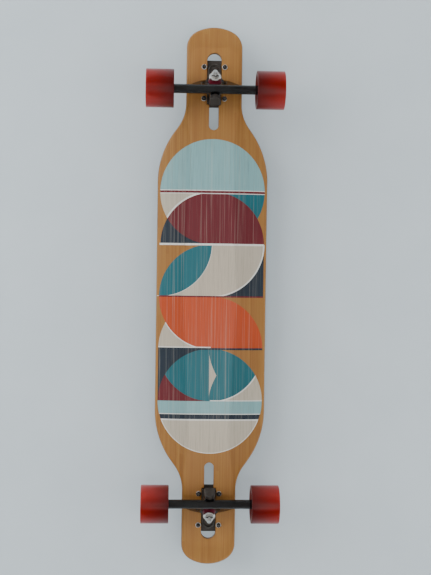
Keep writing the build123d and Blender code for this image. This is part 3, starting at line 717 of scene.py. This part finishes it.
def materials():
    """Every finish of the board by name, made once."""
    if MATERIALS:
        return MATERIALS
    scene = bpy.context.scene
    c = scene.board_colours
    groups = {"speckle": speckle_effect(), "worn_and_highlit": worn_and_highlit_edge_effect(), "grain": grain_effect()}
    middle = (tyre_low.y + tyre_high.y) / 2
    MATERIALS.update({
        "deck": deck_material(c, scene.board_sizes.motif, groups),
        "grip": grip_material(),
        "paint": painted_material("gloss_paint", c.paint, (0.32, 0.31, 0.30), 0.20, groups, coat=0.4),
        "base": painted_material("satin_coat", c.base, (0.36, 0.34, 0.31), 0.42, groups, bump=0.0003, metal=0.35),
        "black": painted_material("black_oxide", (0.012, 0.012, 0.013), (0.28, 0.27, 0.26), 0.36, groups, metal=0.5),
        "zinc": metal_material("zinc_plate", (0.72, 0.71, 0.68), 0.22, groups),
        "steel": metal_material("turned_steel", (0.56, 0.55, 0.53), 0.28, groups),
        "bearing": metal_material("ground_steel", (0.66, 0.66, 0.66), 0.14, groups),
        # the tyre's colour, with painted shade over its core
        "wheel": urethane_material("wheel_urethane", c.wheel, c.wheel_core_shade, groups, middle,
                                   (tyre_high.y - tyre_low.y) / 2),
        "bushing": urethane_material("bushing_urethane", c.bushing, tuple(0.5 * t for t in c.bushing), groups,
                                     sheen=0.32),
        "core": moulded_material("core_plastic", c.core, 0.45, groups),
        "shield": moulded_material("shield_rubber", (0.09, 0.010, 0.009), 0.4, groups),
        "cup": moulded_material("cup_rubber", (0.03, 0.03, 0.03), 0.6, groups),
    })
    return MATERIALS


MATERIALS = {}


# ------------------------------------------------------------------ deck shapes
def board_outline(s, inset=0.0, count=420):
    """Half of the board's outline from the nose to the tail as even steps: x, half width, and the outward normal.

    Each tip is a wide crown arc that touches a corner arc, then come the straight end, the neck arc, the
    shoulder line and the shoulder arc.
    """
    def half(end_width):
        half_end = end_width / 2
        corner_x, corner_y = s.length / 2 - s.crown, half_end - s.corner
        crown_radius = (s.crown ** 2 + corner_y ** 2 - s.corner ** 2) / (2 * (s.crown - s.corner))
        crown_x = s.length / 2 - crown_radius
        touch = math.atan2(corner_y, corner_x - crown_x)
        crown = np.linspace(0, touch, 60)
        bend = np.linspace(touch, math.pi / 2, 80)
        neck_x = s.shoulder + (s.width / 2 - half_end) / math.tan(math.radians(36))
        flank = rounded_path([(corner_x, half_end), (neck_x, half_end), (s.shoulder, s.width / 2), (0, s.width / 2)],
                             [0, s.neck_radius, s.shoulder_radius, 0], steps=60)
        return np.vstack([
            np.stack([crown_x + crown_radius * np.cos(crown), crown_radius * np.sin(crown)], axis=1),
            np.stack([corner_x + s.corner * np.cos(bend), corner_y + s.corner * np.sin(bend)], axis=1)[1:],
            flank[1:]])

    front, back = half(s.nose), half(s.tail)
    line = np.vstack([front, back[::-1][1:] * (-1, 1)])
    along = np.concatenate([[0], np.cumsum(np.hypot(*np.diff(line, axis=0).T))])
    even = np.linspace(0, along[-1], count)
    x, y = np.interp(even, along, line[:, 0]), np.interp(even, along, line[:, 1])
    dx, dy = np.gradient(x), np.gradient(y)
    dy[0], dx[0], dy[-1], dx[-1] = 1, 0, -1, 0
    size_of = np.hypot(dx, dy)
    normal = np.stack([dy / size_of, -dx / size_of], axis=1)
    return x - inset * normal[:, 0], np.maximum(y - inset * normal[:, 1], 0.0), normal


def board_height(s, x, y):
    """Height of the underside: the camber's arc, the level truck pads, the lifted tips and the raised sides.

    Each stretch is a circle's arc, so its rise is its radius less the root of radius squared less run squared.
    """
    def rise(radius, run):
        return radius - np.sqrt(radius ** 2 - run ** 2)

    half_bow = (s.spacing - s.pad) / 2
    angle = 2 * math.atan2(s.camber, half_bow)
    blend_radius = s.camber_blend / math.sin(angle)
    bow_radius = (half_bow - s.camber_blend) / math.sin(angle)
    top = (bow_radius + blend_radius) * (1 - math.cos(angle))
    far = np.abs(x)
    bow = top - rise(bow_radius, np.minimum(far, half_bow - s.camber_blend))
    blend = rise(blend_radius, np.clip(half_bow - far, 0, s.camber_blend))
    run = s.length / 2 + 0.004 - half_bow - s.pad
    tip = rise((run ** 2 + s.tip_lift ** 2) / (2 * s.tip_lift), np.clip(far - half_bow - s.pad, 0, run))
    rail = (s.width - s.floor) / 2
    side = rise((rail ** 2 + s.concave ** 2) / (2 * s.concave), np.maximum(np.abs(y) - s.floor / 2, 0))
    return s.underside + np.where(far < half_bow - s.camber_blend, bow, blend) + tip + side


def board_sheet(s, low, high, edge, inset, across=30, steps=5):
    """A closed sheet that follows the board between two heights, with a rounded rim.

    Each row is a section across the board: the underside, the rim on one side, the top and the rim on
    the other. The rim's points go out and up by the sine and cosine of an even turn.
    """
    x, y, normal = board_outline(s, inset)
    turn = np.linspace(0, math.pi / 2, steps + 1)
    drop = np.concatenate([edge * (1 - np.sin(turn)), edge * (1 - np.cos(turn))])
    rise = np.concatenate([low + edge * (1 - np.cos(turn)), high - edge * (1 - np.sin(turn))])
    v = np.linspace(-1, 1, across)[1:-1]
    rim_x = x[:, None] - drop * normal[:, :1]
    rim_y = np.maximum(y[:, None] - drop * normal[:, 1:], 0.0)
    inner_x, inner_y = rim_x[:, :1], rim_y[:, :1]
    flat_x, flat_y = np.repeat(inner_x, len(v), axis=1), inner_y * v
    level = np.ones_like(flat_x)
    plan_x = np.hstack([flat_x, rim_x, flat_x, rim_x[:, ::-1]])
    plan_y = np.hstack([flat_y, rim_y, -flat_y, -rim_y[:, ::-1]])
    lift = np.hstack([level * low, np.repeat(rise[None], len(x), 0), level * high,
                      np.repeat(rise[None, ::-1], len(x), 0)])
    z = board_height(s, plan_x, plan_y) + lift
    points = np.stack([plan_x, plan_y, z], axis=-1).reshape(-1, 3)
    return (points, grid_faces(len(x), plan_x.shape[1])), (lift / s.thickness).reshape(-1)


def keyhole(s, end, spread):
    """Outline of a truck's opening: a wide part with a round outer end and a narrow slot with a round inner end."""
    wide, thin = s.cutout / 2 + spread, s.slot / 2 + spread
    outer, inner, tip = s.cutout_outer + spread, -s.cutout_inner - spread, -s.slot_inner - spread
    easing = 0.002
    corners = [(outer, wide), (inner, wide), (inner, thin), (tip, thin),
               (tip, -thin), (inner, -thin), (inner, -wide), (outer, -wide)]
    radii = [wide * 0.999, easing, easing, thin * 0.999, thin * 0.999, easing, easing, wide * 0.999]
    path = rounded_path(corners, radii, steps=14, closed=True)
    return path * (end, 1) + (end * s.spacing / 2, 0)


def keyhole_cutter(s, end, low, high, eased):
    """A solid of the opening's shape that flares where it leaves the board, so the edges come out eased."""
    over = eased / 4
    heights = [(low - 0.02, eased), (low - over, eased), (low + eased, 0.0),
               (high - eased, 0.0), (high + over, eased), (high + 0.02, eased)]
    rings = [np.column_stack([keyhole(s, end, spread), np.full(len(keyhole(s, end, spread)), z)])
             for z, spread in heights]
    count = len(rings[0])
    faces = grid_faces(len(rings), count).tolist()
    faces += [list(range(count))[::-1], list(range((len(rings) - 1) * count, len(rings) * count))]
    mesh = bpy.data.meshes.new("cutter")
    points = np.vstack(rings)
    mesh.from_pydata(points.tolist(), [], faces)
    layer = mesh.attributes.new("ply", "FLOAT", "POINT")
    layer.data.foreach_set("value", ((points[:, 2] - s.underside) / s.thickness).astype(np.float32))
    shape = bmesh.new()
    shape.from_mesh(mesh)
    bmesh.ops.recalc_face_normals(shape, faces=shape.faces)
    shape.to_mesh(mesh)
    shape.free()
    obj = bpy.data.objects.new("cutter", mesh)
    bpy.context.scene.collection.objects.link(obj)
    return obj


def cut_board(name, s, low, high, edge, inset, eased, material, node):
    """A board sheet with both truck openings cut out of it."""
    surface, ply = board_sheet(s, low, high, edge, inset)
    blank = piece("blank", surface, material, None, attribute=("ply", ply))
    cutters = [keyhole_cutter(s, end, s.underside + low, s.underside + high, eased) for _, end in TRUCKS]
    for cutter in cutters:
        cut = blank.modifiers.new("cut", "BOOLEAN")
        cut.operation, cut.solver, cut.object = "DIFFERENCE", "EXACT", cutter
    mesh = applied(blank)
    for cutter in cutters:
        bpy.data.objects.remove(cutter)
    return finished(name, mesh, material, "deck", [node], degrees=50)


# ------------------------------------------------------------------ operators
class MakeStage(bpy.types.Operator):
    """Sets the floor, the backdrop, the soft lights, the world and the camera."""

    bl_idname = "longboard.stage"
    bl_label = "Stage"

    def execute(self, context):
        scene = context.scene
        s = scene.stage_settings
        for name, height, front, tone, glow in (("floor", 0.0, 1, s.floor_tone, 0.0),
                                                ("backdrop", s.backdrop, -1, s.wall_tone, 0.34)):
            corners = np.array([(-1, -1, 0), (1, -1, 0), (1, 1, 0), (-1, 1, 0)], float) * s.reach + (0, 0, height)
            mesh = bpy.data.meshes.new(name)
            mesh.from_pydata(corners[::front].tolist(), [], [(0, 1, 2, 3)])
            mesh.materials.append(seen_one_way(f"pale_{name}", tone, glow))
            obj = bpy.data.objects.new(name, mesh)
            scene.collection.objects.link(obj)
            obj.visible_shadow = False
        lights = (
            ("strip_below", (0.0, -0.42, -3.0), (0, 0, 0.09), (0.30, 3.2), 16),
            ("window_below", (0.9, -2.2, -2.0), (0, 0, 0.09), (2.2, 2.2), 62),
            ("fill_below", (-0.6, 2.2, -2.2), (0, 0, 0.09), (2.0, 2.0), 30),
            ("lamp_below", (-0.30, 0.30, -2.5), (0, 0, 0.09), (0.9, 0.28), 9),
            ("sky_above", (0.6, -0.8, 2.6), (0, 0, 0.05), (2.4, 2.4), 62),
            ("window_above", (-1.6, 2.2, 1.4), (0, 0, 0.05), (1.6, 1.2), 30),
            ("window_side", (2.2, -1.6, 0.9), (0, 0, 0.05), (1.2, 0.8), 20),
        )
        for name, origin, target, (width, length), power in lights:
            data = bpy.data.lights.new(name, "AREA")
            data.shape, data.size, data.size_y, data.energy = "RECTANGLE", width, length, power
            back = unit(np.array(origin) - np.array(target))
            across = unit(np.cross((1.0, 0.0, 0.0), back))
            along = np.cross(back, across)
            rows = np.column_stack([across, along, back, origin])
            obj = bpy.data.objects.new(name, data)
            obj.matrix_world = Matrix(np.vstack([rows, (0, 0, 0, 1)]).tolist())
            scene.collection.objects.link(obj)
        world = bpy.data.worlds.new("soft_room")
        world.use_nodes = True
        w = Wiring(world.node_tree)
        up = w.add("ShaderNodeSeparateXYZ", {0: w.add("ShaderNodeTexCoord").outputs["Generated"]}).outputs[2]
        tone = w.mix(w.spread(up, -0.3, 0.3), (0.30, 0.33, 0.36), (0.80, 0.82, 0.84))
        w.feed(world.node_tree.nodes["Background"].inputs["Color"], tone)
        world.node_tree.nodes["Background"].inputs["Strength"].default_value = 0.62
        scene.world = world
        camera = bpy.data.cameras.new("camera")
        camera.lens = s.lens
        # the camera looks up at the underside, turned so that the nose is at the top of the picture
        origin = (0.0455, -0.0865, -1.9875)
        up, right, ahead = (0.99982, -0.0132, 0.0135), (0.01379, 0.99888, -0.04529), (-0.01289, 0.04547, 0.99888)
        rows = np.column_stack([right, up, -np.array(ahead), origin])
        obj = bpy.data.objects.new("camera", camera)
        obj.matrix_world = Matrix(np.vstack([rows, (0, 0, 0, 1)]).tolist())
        scene.collection.objects.link(obj)
        scene.camera = obj
        return {"FINISHED"}


class MakeDeck(bpy.types.Operator):
    """Makes the deck, with its rounded rim, camber, concave and truck openings, and the grip sheet on it."""

    bl_idname = "longboard.deck"
    bl_label = "Deck and grip"

    def execute(self, context):
        s, m = context.scene.board_sizes, materials()
        cut_board("deck_board", s, 0.0, s.thickness, s.edge, 0.0, s.eased, m["deck"], "deck")
        cut_board("grip_sheet", s, s.thickness, s.thickness + s.grip, s.grip * 0.45, s.grip_inset, s.grip * 0.2,
                  m["grip"], "griptape")
        return {"FINISHED"}


class MakeCastings(bpy.types.Operator):
    """Makes the hangers and baseplates as castings with rounded edges and filled inner corners."""

    bl_idname = "longboard.castings"
    bl_label = "Hangers and baseplates"

    def execute(self, context):
        s, m = context.scene.fitting_sizes, materials()
        for truck, _ in TRUCKS:
            for kind, finish, slot, body in (("hanger", "paint", "gloss_black", f"{truck}_hanger"),
                                             ("baseplate", "base", "cast_black", "deck")):
                node = f"{truck}_{kind}"
                blank = bpy.data.objects.new("blank", frame["nodes"][node].data.copy())
                context.scene.collection.objects.link(blank)
                weld = blank.modifiers.new("weld", "WELD")
                weld.merge_threshold = 1e-5
                remesh = blank.modifiers.new("even", "REMESH")
                remesh.mode, remesh.voxel_size, remesh.adaptivity = "VOXEL", s.grain, 0.0
                soften = blank.modifiers.new("soften", "SMOOTH")
                soften.factor, soften.iterations = 0.5, s.round_steps
                mesh = applied(blank)
                finished(f"{node}_casting", mesh, m[finish], body, [node], degrees=180)
        return {"FINISHED"}


class MakeKingpins(bpy.types.Operator):
    """Makes each truck's kingpin, its lock nut and its two cupped washers."""

    bl_idname = "longboard.kingpins"
    bl_label = "Kingpins"

    def execute(self, context):
        s, m = context.scene.fitting_sizes, materials()
        for truck, end in TRUCKS:
            place = truck_places(truck, end)["kingpin"]
            low, high, head, _ = reach_along(corners_of(f"{truck}_kingpin"), place)
            nut_low, nut_high, nut_corner, bore = reach_along(corners_of(f"{truck}_kingpin_nut"), place)
            shank = bore * 0.99
            flats = 2 * head * math.cos(math.pi / 6)
            top = low + 0.005
            z = np.arange(nut_high - 0.002, high - 0.001, s.pitch / 8)
            thread = np.column_stack([np.full(len(z), shank), z])
            outline = [(0, low), (head * 0.86, low), (head, low + 0.0009), (head, top), (shank, top),
                       (shank, nut_high - 0.0021)]
            tail = [(shank - 0.0008, high), (0, high)]
            profile = np.vstack([outline, thread, tail])
            cut = thread_shape(shank, s.thread_depth, s.pitch, nut_high - 0.002, high - 0.001)
            six = hex_shape(flats)
            surface = turned(profile, place, 72, lambda a, r, h: np.where(h < top + 1e-6, six(a, r, h), cut(a, r, h)))
            piece(f"{truck}_kingpin_bolt", surface, m["steel"], "deck", [f"{truck}_kingpin"])
            nut = lock_nut(place, nut_low, nut_high - nut_low, 2 * nut_corner * math.cos(math.pi / 6), shank,
                           s.nut_collar)
            piece(f"{truck}_kingpin_lock_nut", nut, m["zinc"], "deck", [f"{truck}_kingpin_nut"])
            for where, way in (("roadside", 1), ("boardside", -1)):
                node = f"{truck}_washer_{where}"
                near, far, outer, _ = reach_along(corners_of(node), place)
                if way < 0:
                    near, far = far, near
                floor, wall = 0.0020 * way, 0.0010
                outline = [(shank, far), (outer * 0.90, far), (outer, far - way * 0.0022), (outer, near),
                           (outer - wall, near), (outer - wall - 0.0002, far - 1.1 * floor), (shank, far - floor)]
                profile = rounded_path(outline, [0.0003, 0.0016, 0.0008, 0.00042, 0.00042, 0.0003, 0.0003], 4, True)
                if way > 0:
                    profile = profile[::-1]
                piece(f"{truck}_cup_{where}", turned(profile, place, 72), m["zinc"], "deck", [node])
        return {"FINISHED"}


class MakeBushings(bpy.types.Operator):
    """Makes the urethane bushings, which stand on no body: their places are baked into their meshes."""

    bl_idname = "longboard.bushings"
    bl_label = "Bushings"

    def execute(self, context):
        m = materials()
        for truck, end in TRUCKS:
            place = truck_places(truck, end)["kingpin"]
            origin, axes = place
            for where, way in (("roadside", 1), ("boardside", -1)):
                node = f"{truck}_bushing_{where}"
                points = corners_of(node)
                low, high, wide, bore = reach_along(points, place)
                ring_end, washer_end = (low, high) if way > 0 else (high, low)
                local = (points - origin) @ axes.T
                cap = np.hypot(local[:, 0], local[:, 1])[np.abs(local[:, 2] - washer_end) < 1e-4].max()
                # a cone with a waist on the road side, a barrel on the board side: sines of the height
                t = np.linspace(0, 1, 17)
                if way > 0:
                    radius = wide + (cap - wide) * t - wide * WAIST * np.sin(math.pi * t)
                else:
                    radius = wide * (1 - BARREL + BARREL * np.sin(math.pi * t))
                height = ring_end + (washer_end - ring_end) * t
                radius[0] -= BUSHING_EDGE
                radius[-1] -= BUSHING_EDGE
                outer = np.column_stack([radius, height])
                inner = np.column_stack([np.full(9, bore), np.linspace(washer_end, ring_end, 9)])
                profile = np.vstack([outer, inner])
                if way < 0:
                    profile = profile[::-1]
                obj = piece(f"{truck}_{where}_bushing", turned(profile, place, 64), m["bushing"], None,
                            [node])
                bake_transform(obj)
        return {"FINISHED"}


class MakeAxles(bpy.types.Operator):
    """Makes the axles with their threaded ends, and the lock nuts that hold the wheels."""

    bl_idname = "longboard.axles"
    bl_label = "Axles"

    def execute(self, context):
        s, m = context.scene.fitting_sizes, materials()
        for truck, end in TRUCKS:
            middle = truck_places(truck, end)["axle"]
            body = f"{truck}_hanger"
            nuts = corners_of(f"{truck}_axle_nuts")
            place = place_at(middle, (0, 1, 0), (1, 0, 0))
            _, high, radius, _ = reach_along(corners_of(f"{truck}_axle"), place)
            thread_from = high - 0.013
            crest = radius * 0.975
            z = np.arange(thread_from, high - 0.0008, s.fine_pitch / 8)
            thread = np.column_stack([np.full(len(z), crest), z])
            half = np.vstack([[(radius, thread_from - 0.0005)], thread, [(crest - 0.0006, high), (0, high)]])
            profile = np.vstack([(half * (1, -1))[::-1], half])
            cut = thread_shape(crest, s.thread_depth, s.fine_pitch, thread_from, high - 0.0008)
            surface = turned(profile, place, 60, lambda a, r, h: np.where(r < radius - 1e-6, cut(a, r, np.abs(h)), r))
            piece(f"{truck}_axle_rod", surface, m["steel"], body, [f"{truck}_axle"])
            both = []
            for _, side in SIDES:
                outward = place_at(middle, (0, side, 0), (1, 0, 0))
                near, far, corner, bore = reach_along(nuts[nuts[:, 1] * side > 0], outward)
                flats = 2 * corner * math.cos(math.pi / 6)
                both.append(lock_nut(outward, near, far - near, flats, bore, s.nut_collar))
            piece(f"{truck}_wheel_nuts", joined(both), m["zinc"], body, [f"{truck}_axle_nuts"])
        return {"FINISHED"}


class MakeMounting(bpy.types.Operator):
    """Makes the bolts, lock nuts and washers that hold each truck to the deck."""

    bl_idname = "longboard.mounting"
    bl_label = "Mounting hardware"

    def execute(self, context):
        s, m = context.scene.fitting_sizes, materials()
        for truck, _ in TRUCKS:
            bolts, nuts, washers = (corners_of(f"{truck}_mounting_{k}") for k in ("bolts", "nuts", "washers"))
            middle = (bolts.min(axis=0) + bolts.max(axis=0)) / 2
            made = {"bolts": [], "nuts": [], "washers": []}
            for sx in (1, -1):
                for sy in (1, -1):
                    def own(points):
                        return points[((points[:, 0] - middle[0]) * sx > 0) & ((points[:, 1] - middle[1]) * sy > 0)]
                    mine = own(bolts)
                    spot = (mine.min(axis=0) + mine.max(axis=0)) / 2
                    place = place_at((spot[0], spot[1], 0.0), (0, 0, 1))
                    low, high, head, _ = reach_along(mine, place)
                    nut_low, nut_high, corner, bore = reach_along(own(nuts), place)
                    flat_low, flat_high, flat_outer, flat_bore = reach_along(own(washers), place)
                    shank = bore * 0.985
                    under_head = high - 0.0028
                    z = np.arange(low + 0.0004, nut_low + 0.002, s.bolt_pitch / 8)
                    thread = np.column_stack([np.full(len(z), shank), z])
                    tail = np.array([(0, low), (shank - 0.0004, low)])
                    socket = 0.0016
                    top = rounded_path([(shank, under_head), (head, under_head), (head, high), (socket * 1.15, high),
                                        (socket, high - 0.0002), (socket, high - 0.0018), (0, high - 0.0022)],
                                       [0, 0.0003, 0.0010, 0, 0, 0, 0], 5)
                    cut = thread_shape(shank, s.thread_depth * 0.8, s.bolt_pitch, low + 0.0004, nut_low + 0.002)
                    six = hex_shape(0.0030)

                    def shape(angle, radius, height, cut=cut, six=six, high=high, socket=socket):
                        hole = (radius < socket * 1.2) & (height > high - 0.0021)
                        return np.where(hole, six(angle, radius, height), cut(angle, radius, height))
                    profile = np.vstack([tail, thread, top])
                    made["bolts"].append(turned(profile, place, 48, shape))
                    down = place_at((spot[0], spot[1], 0.0), (0, 0, -1))
                    flats = 2 * corner * math.cos(math.pi / 6)
                    made["nuts"].append(lock_nut(down, -nut_high, nut_high - nut_low, flats, shank, 0.0014))
                    made["washers"].append(turned(ring_profile(flat_bore, flat_outer, flat_low, flat_high, 0.0003),
                                                  place, 48))
            for kind, finish, slot in (("bolts", "black", "black_bolt"), ("nuts", "black", "zinc"),
                                       ("washers", "zinc", "zinc")):
                piece(f"{truck}_truck_{kind}", joined(made[kind]), m[finish], "deck",
                      [f"{truck}_mounting_{kind}"])
        return {"FINISHED"}


class MakeWheels(bpy.types.Operator):
    """Makes the tyres with dished, finely ridged sides, and their cores."""

    bl_idname = "longboard.wheels"
    bl_label = "Wheels"

    def execute(self, context):
        s, m = context.scene.fitting_sizes, materials()
        for truck, end in TRUCKS:
            middle = truck_places(truck, end)["axle"]
            for side_name, side in SIDES:
                wheel = f"{truck}_{side_name}"
                place = place_at(middle, (0, side, 0), (1, 0, 0))
                low, high, outer, bore = reach_along(corners_of(f"{wheel}_tyre"), place)
                lip = outer - s.lip
                outline = [(bore, low + s.dish), (lip, low), (outer, low), (outer, high), (lip, high),
                           (bore, high - s.dish)]
                radii = [0.0008, 0.004, s.tread_radius, s.tread_radius, 0.004, 0.0008]
                profile = rounded_path(outline, radii, steps=7, closed=True)
                profile = self.ridged(profile, (low + high) / 2, s.mould_ridge)
                piece(f"{wheel}_urethane", turned(profile, place, 160), m["wheel"], f"{wheel}_wheel",
                      [f"{wheel}_tyre"], degrees=60)
                low, high, outer, bore = reach_along(corners_of(f"{wheel}_core"), place)
                self.core(wheel, place, low, high, outer, m["core"])
        return {"FINISHED"}

    @staticmethod
    def ridged(profile, middle, ridge):
        """Adds points along the two dished stretches and moves them by a sine of their distance along."""
        rows = []
        count = len(profile)
        for k in range(count):
            here, after = profile[k], profile[(k + 1) % count]
            rows.append(here[None])
            run = after - here
            slanted = abs(run[0]) > 0.004 and abs(run[1]) > 0.001
            if slanted:
                t = np.linspace(0, 1, 41)[1:-1, None]
                wave = ridge * (np.cos(2 * math.pi * 5 * t) - 1) / 2
                outward = np.array([0.0, 1.0 if here[1] > middle else -1.0])
                rows.append(here + run * t + wave * outward)
        return np.vstack(rows)

    @staticmethod
    def core(wheel, place, low, high, outer, material):
        """The core: a ring with rounded lips, bored for the bearings, with a shoulder between them."""
        seat, shoulder = 0.01103, 0.0092
        middle, half = (low + high) / 2, 0.005
        outline = [(seat, low), (outer, low), (outer, high), (seat, high), (seat, middle + half),
                   (shoulder, middle + half), (shoulder, middle - half), (seat, middle - half)]
        profile = rounded_path(outline, [0.0006, 0.0012, 0.0012, 0.0006, 0, 0.0003, 0.0003, 0], 4, True)
        piece(f"{wheel}_wheel_core", turned(profile, place, 96), material, f"{wheel}_wheel",
              [f"{wheel}_core"])


class MakeBearings(bpy.types.Operator):
    """Makes the bearing outer rings and their shields, and finishes the hidden rings, balls and spacers."""

    bl_idname = "longboard.bearings"
    bl_label = "Bearings"

    def execute(self, context):
        m = materials()
        kept = {"bearing_inner_rings": "bearing", "bearing_spacers": "steel", "speed_washers": "zinc",
                "pivot_cup": "cup"}
        for truck, end in TRUCKS:
            middle = truck_places(truck, end)["axle"]
            for part, finish in kept.items():
                self.dress(f"{truck}_{part}", m[finish])
            for side_name, side in SIDES:
                wheel = f"{truck}_{side_name}"
                place = place_at(middle, (0, side, 0), (1, 0, 0))
                self.dress(f"{wheel}_bearing_balls", m["bearing"])
                rings, shields = [], []
                low, high, outer, _ = reach_along(corners_of(f"{wheel}_bearing_outer_rings"), place)
                _, _, shield_outer, shield_inner = reach_along(corners_of(f"{wheel}_bearing_shields"), place)
                for start in (low, high - BEARING_WIDTH):
                    groove = rounded_path(
                        [(outer - RACE_WALL, start), (outer, start), (outer, start + BEARING_WIDTH),
                         (outer - RACE_WALL, start + BEARING_WIDTH)], [0.0002, 0.0005, 0.0005, 0.0002], 4)
                    t = np.linspace(1, -1, 15)
                    depth = RACE_WALL / 2 * np.sqrt(np.maximum(1 - (t / 0.55) ** 2, 0))
                    race = np.column_stack([outer - RACE_WALL + depth, start + BEARING_WIDTH / 2 + t * 0.0030])
                    rings.append(turned(np.vstack([groove, race]), place, 72))
                    for inset in (0.0005, BEARING_WIDTH - 0.0005 - SHIELD_THICKNESS):
                        plate = start + inset
                        r = np.linspace(shield_inner, shield_outer, 15)
                        bead = 0.00022 * np.cos(np.linspace(0, 4 * math.pi, 15)) * np.sin(np.linspace(0, math.pi, 15))
                        under = np.column_stack([r, np.full(15, plate) + np.minimum(bead, 0) * 0.5])
                        face = plate + SHIELD_THICKNESS + np.maximum(bead, 0)[::-1] * 0.5
                        over = np.column_stack([r[::-1], face])
                        shields.append(turned(np.vstack([under, over]), place, 72))
                piece(f"{wheel}_outer_rings", joined(rings), m["bearing"], f"{wheel}_wheel",
                      [f"{wheel}_bearing_outer_rings"])
                piece(f"{wheel}_shields", joined(shields), m["shield"], f"{wheel}_wheel",
                      [f"{wheel}_bearing_shields"])
        return {"FINISHED"}

    @staticmethod
    def dress(node, material):
        """Gives a CAD node that keeps its own shape its finish."""
        slots = frame["nodes"][node].data.materials
        if not slots:
            slots.append(material)
        for index in range(len(slots)):
            slots[index] = material


OPERATORS = (MakeStage, MakeDeck, MakeCastings, MakeKingpins, MakeBushings, MakeAxles, MakeMounting, MakeWheels,
             MakeBearings)
SETTINGS = (("board_sizes", BoardSizes), ("fitting_sizes", FittingSizes), ("board_colours", BoardColours),
            ("stage_settings", StageSettings))


class LongboardPanel(bpy.types.Panel):
    """Lists the settings and the operators that build the board."""

    bl_idname = "VIEW3D_PT_longboard"
    bl_label = "Longboard"
    bl_space_type = "VIEW_3D"
    bl_region_type = "UI"
    bl_category = "Longboard"

    def draw(self, context):
        for operator in OPERATORS:
            self.layout.operator(operator.bl_idname)
        for name, group in SETTINGS:
            box = self.layout.box()
            for key in group.__annotations__:
                box.prop(getattr(context.scene, name), key)


def register():
    """Adds the settings, operators and panel."""
    for name, group in SETTINGS:
        bpy.utils.register_class(group)
        setattr(bpy.types.Scene, name, PointerProperty(type=group))
    for operator in OPERATORS + (LongboardPanel,):
        bpy.utils.register_class(operator)


def unregister():
    """Removes them again."""
    for operator in OPERATORS + (LongboardPanel,):
        bpy.utils.unregister_class(operator)
    for name, group in SETTINGS:
        delattr(bpy.types.Scene, name)
        bpy.utils.unregister_class(group)


def main():
    """Builds every piece in order."""
    register()
    for step in ("stage", "deck", "castings", "kingpins", "bushings", "axles", "mounting", "wheels", "bearings"):
        getattr(bpy.ops.longboard, step)()
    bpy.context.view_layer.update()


if __name__ == "__main__":
    main()
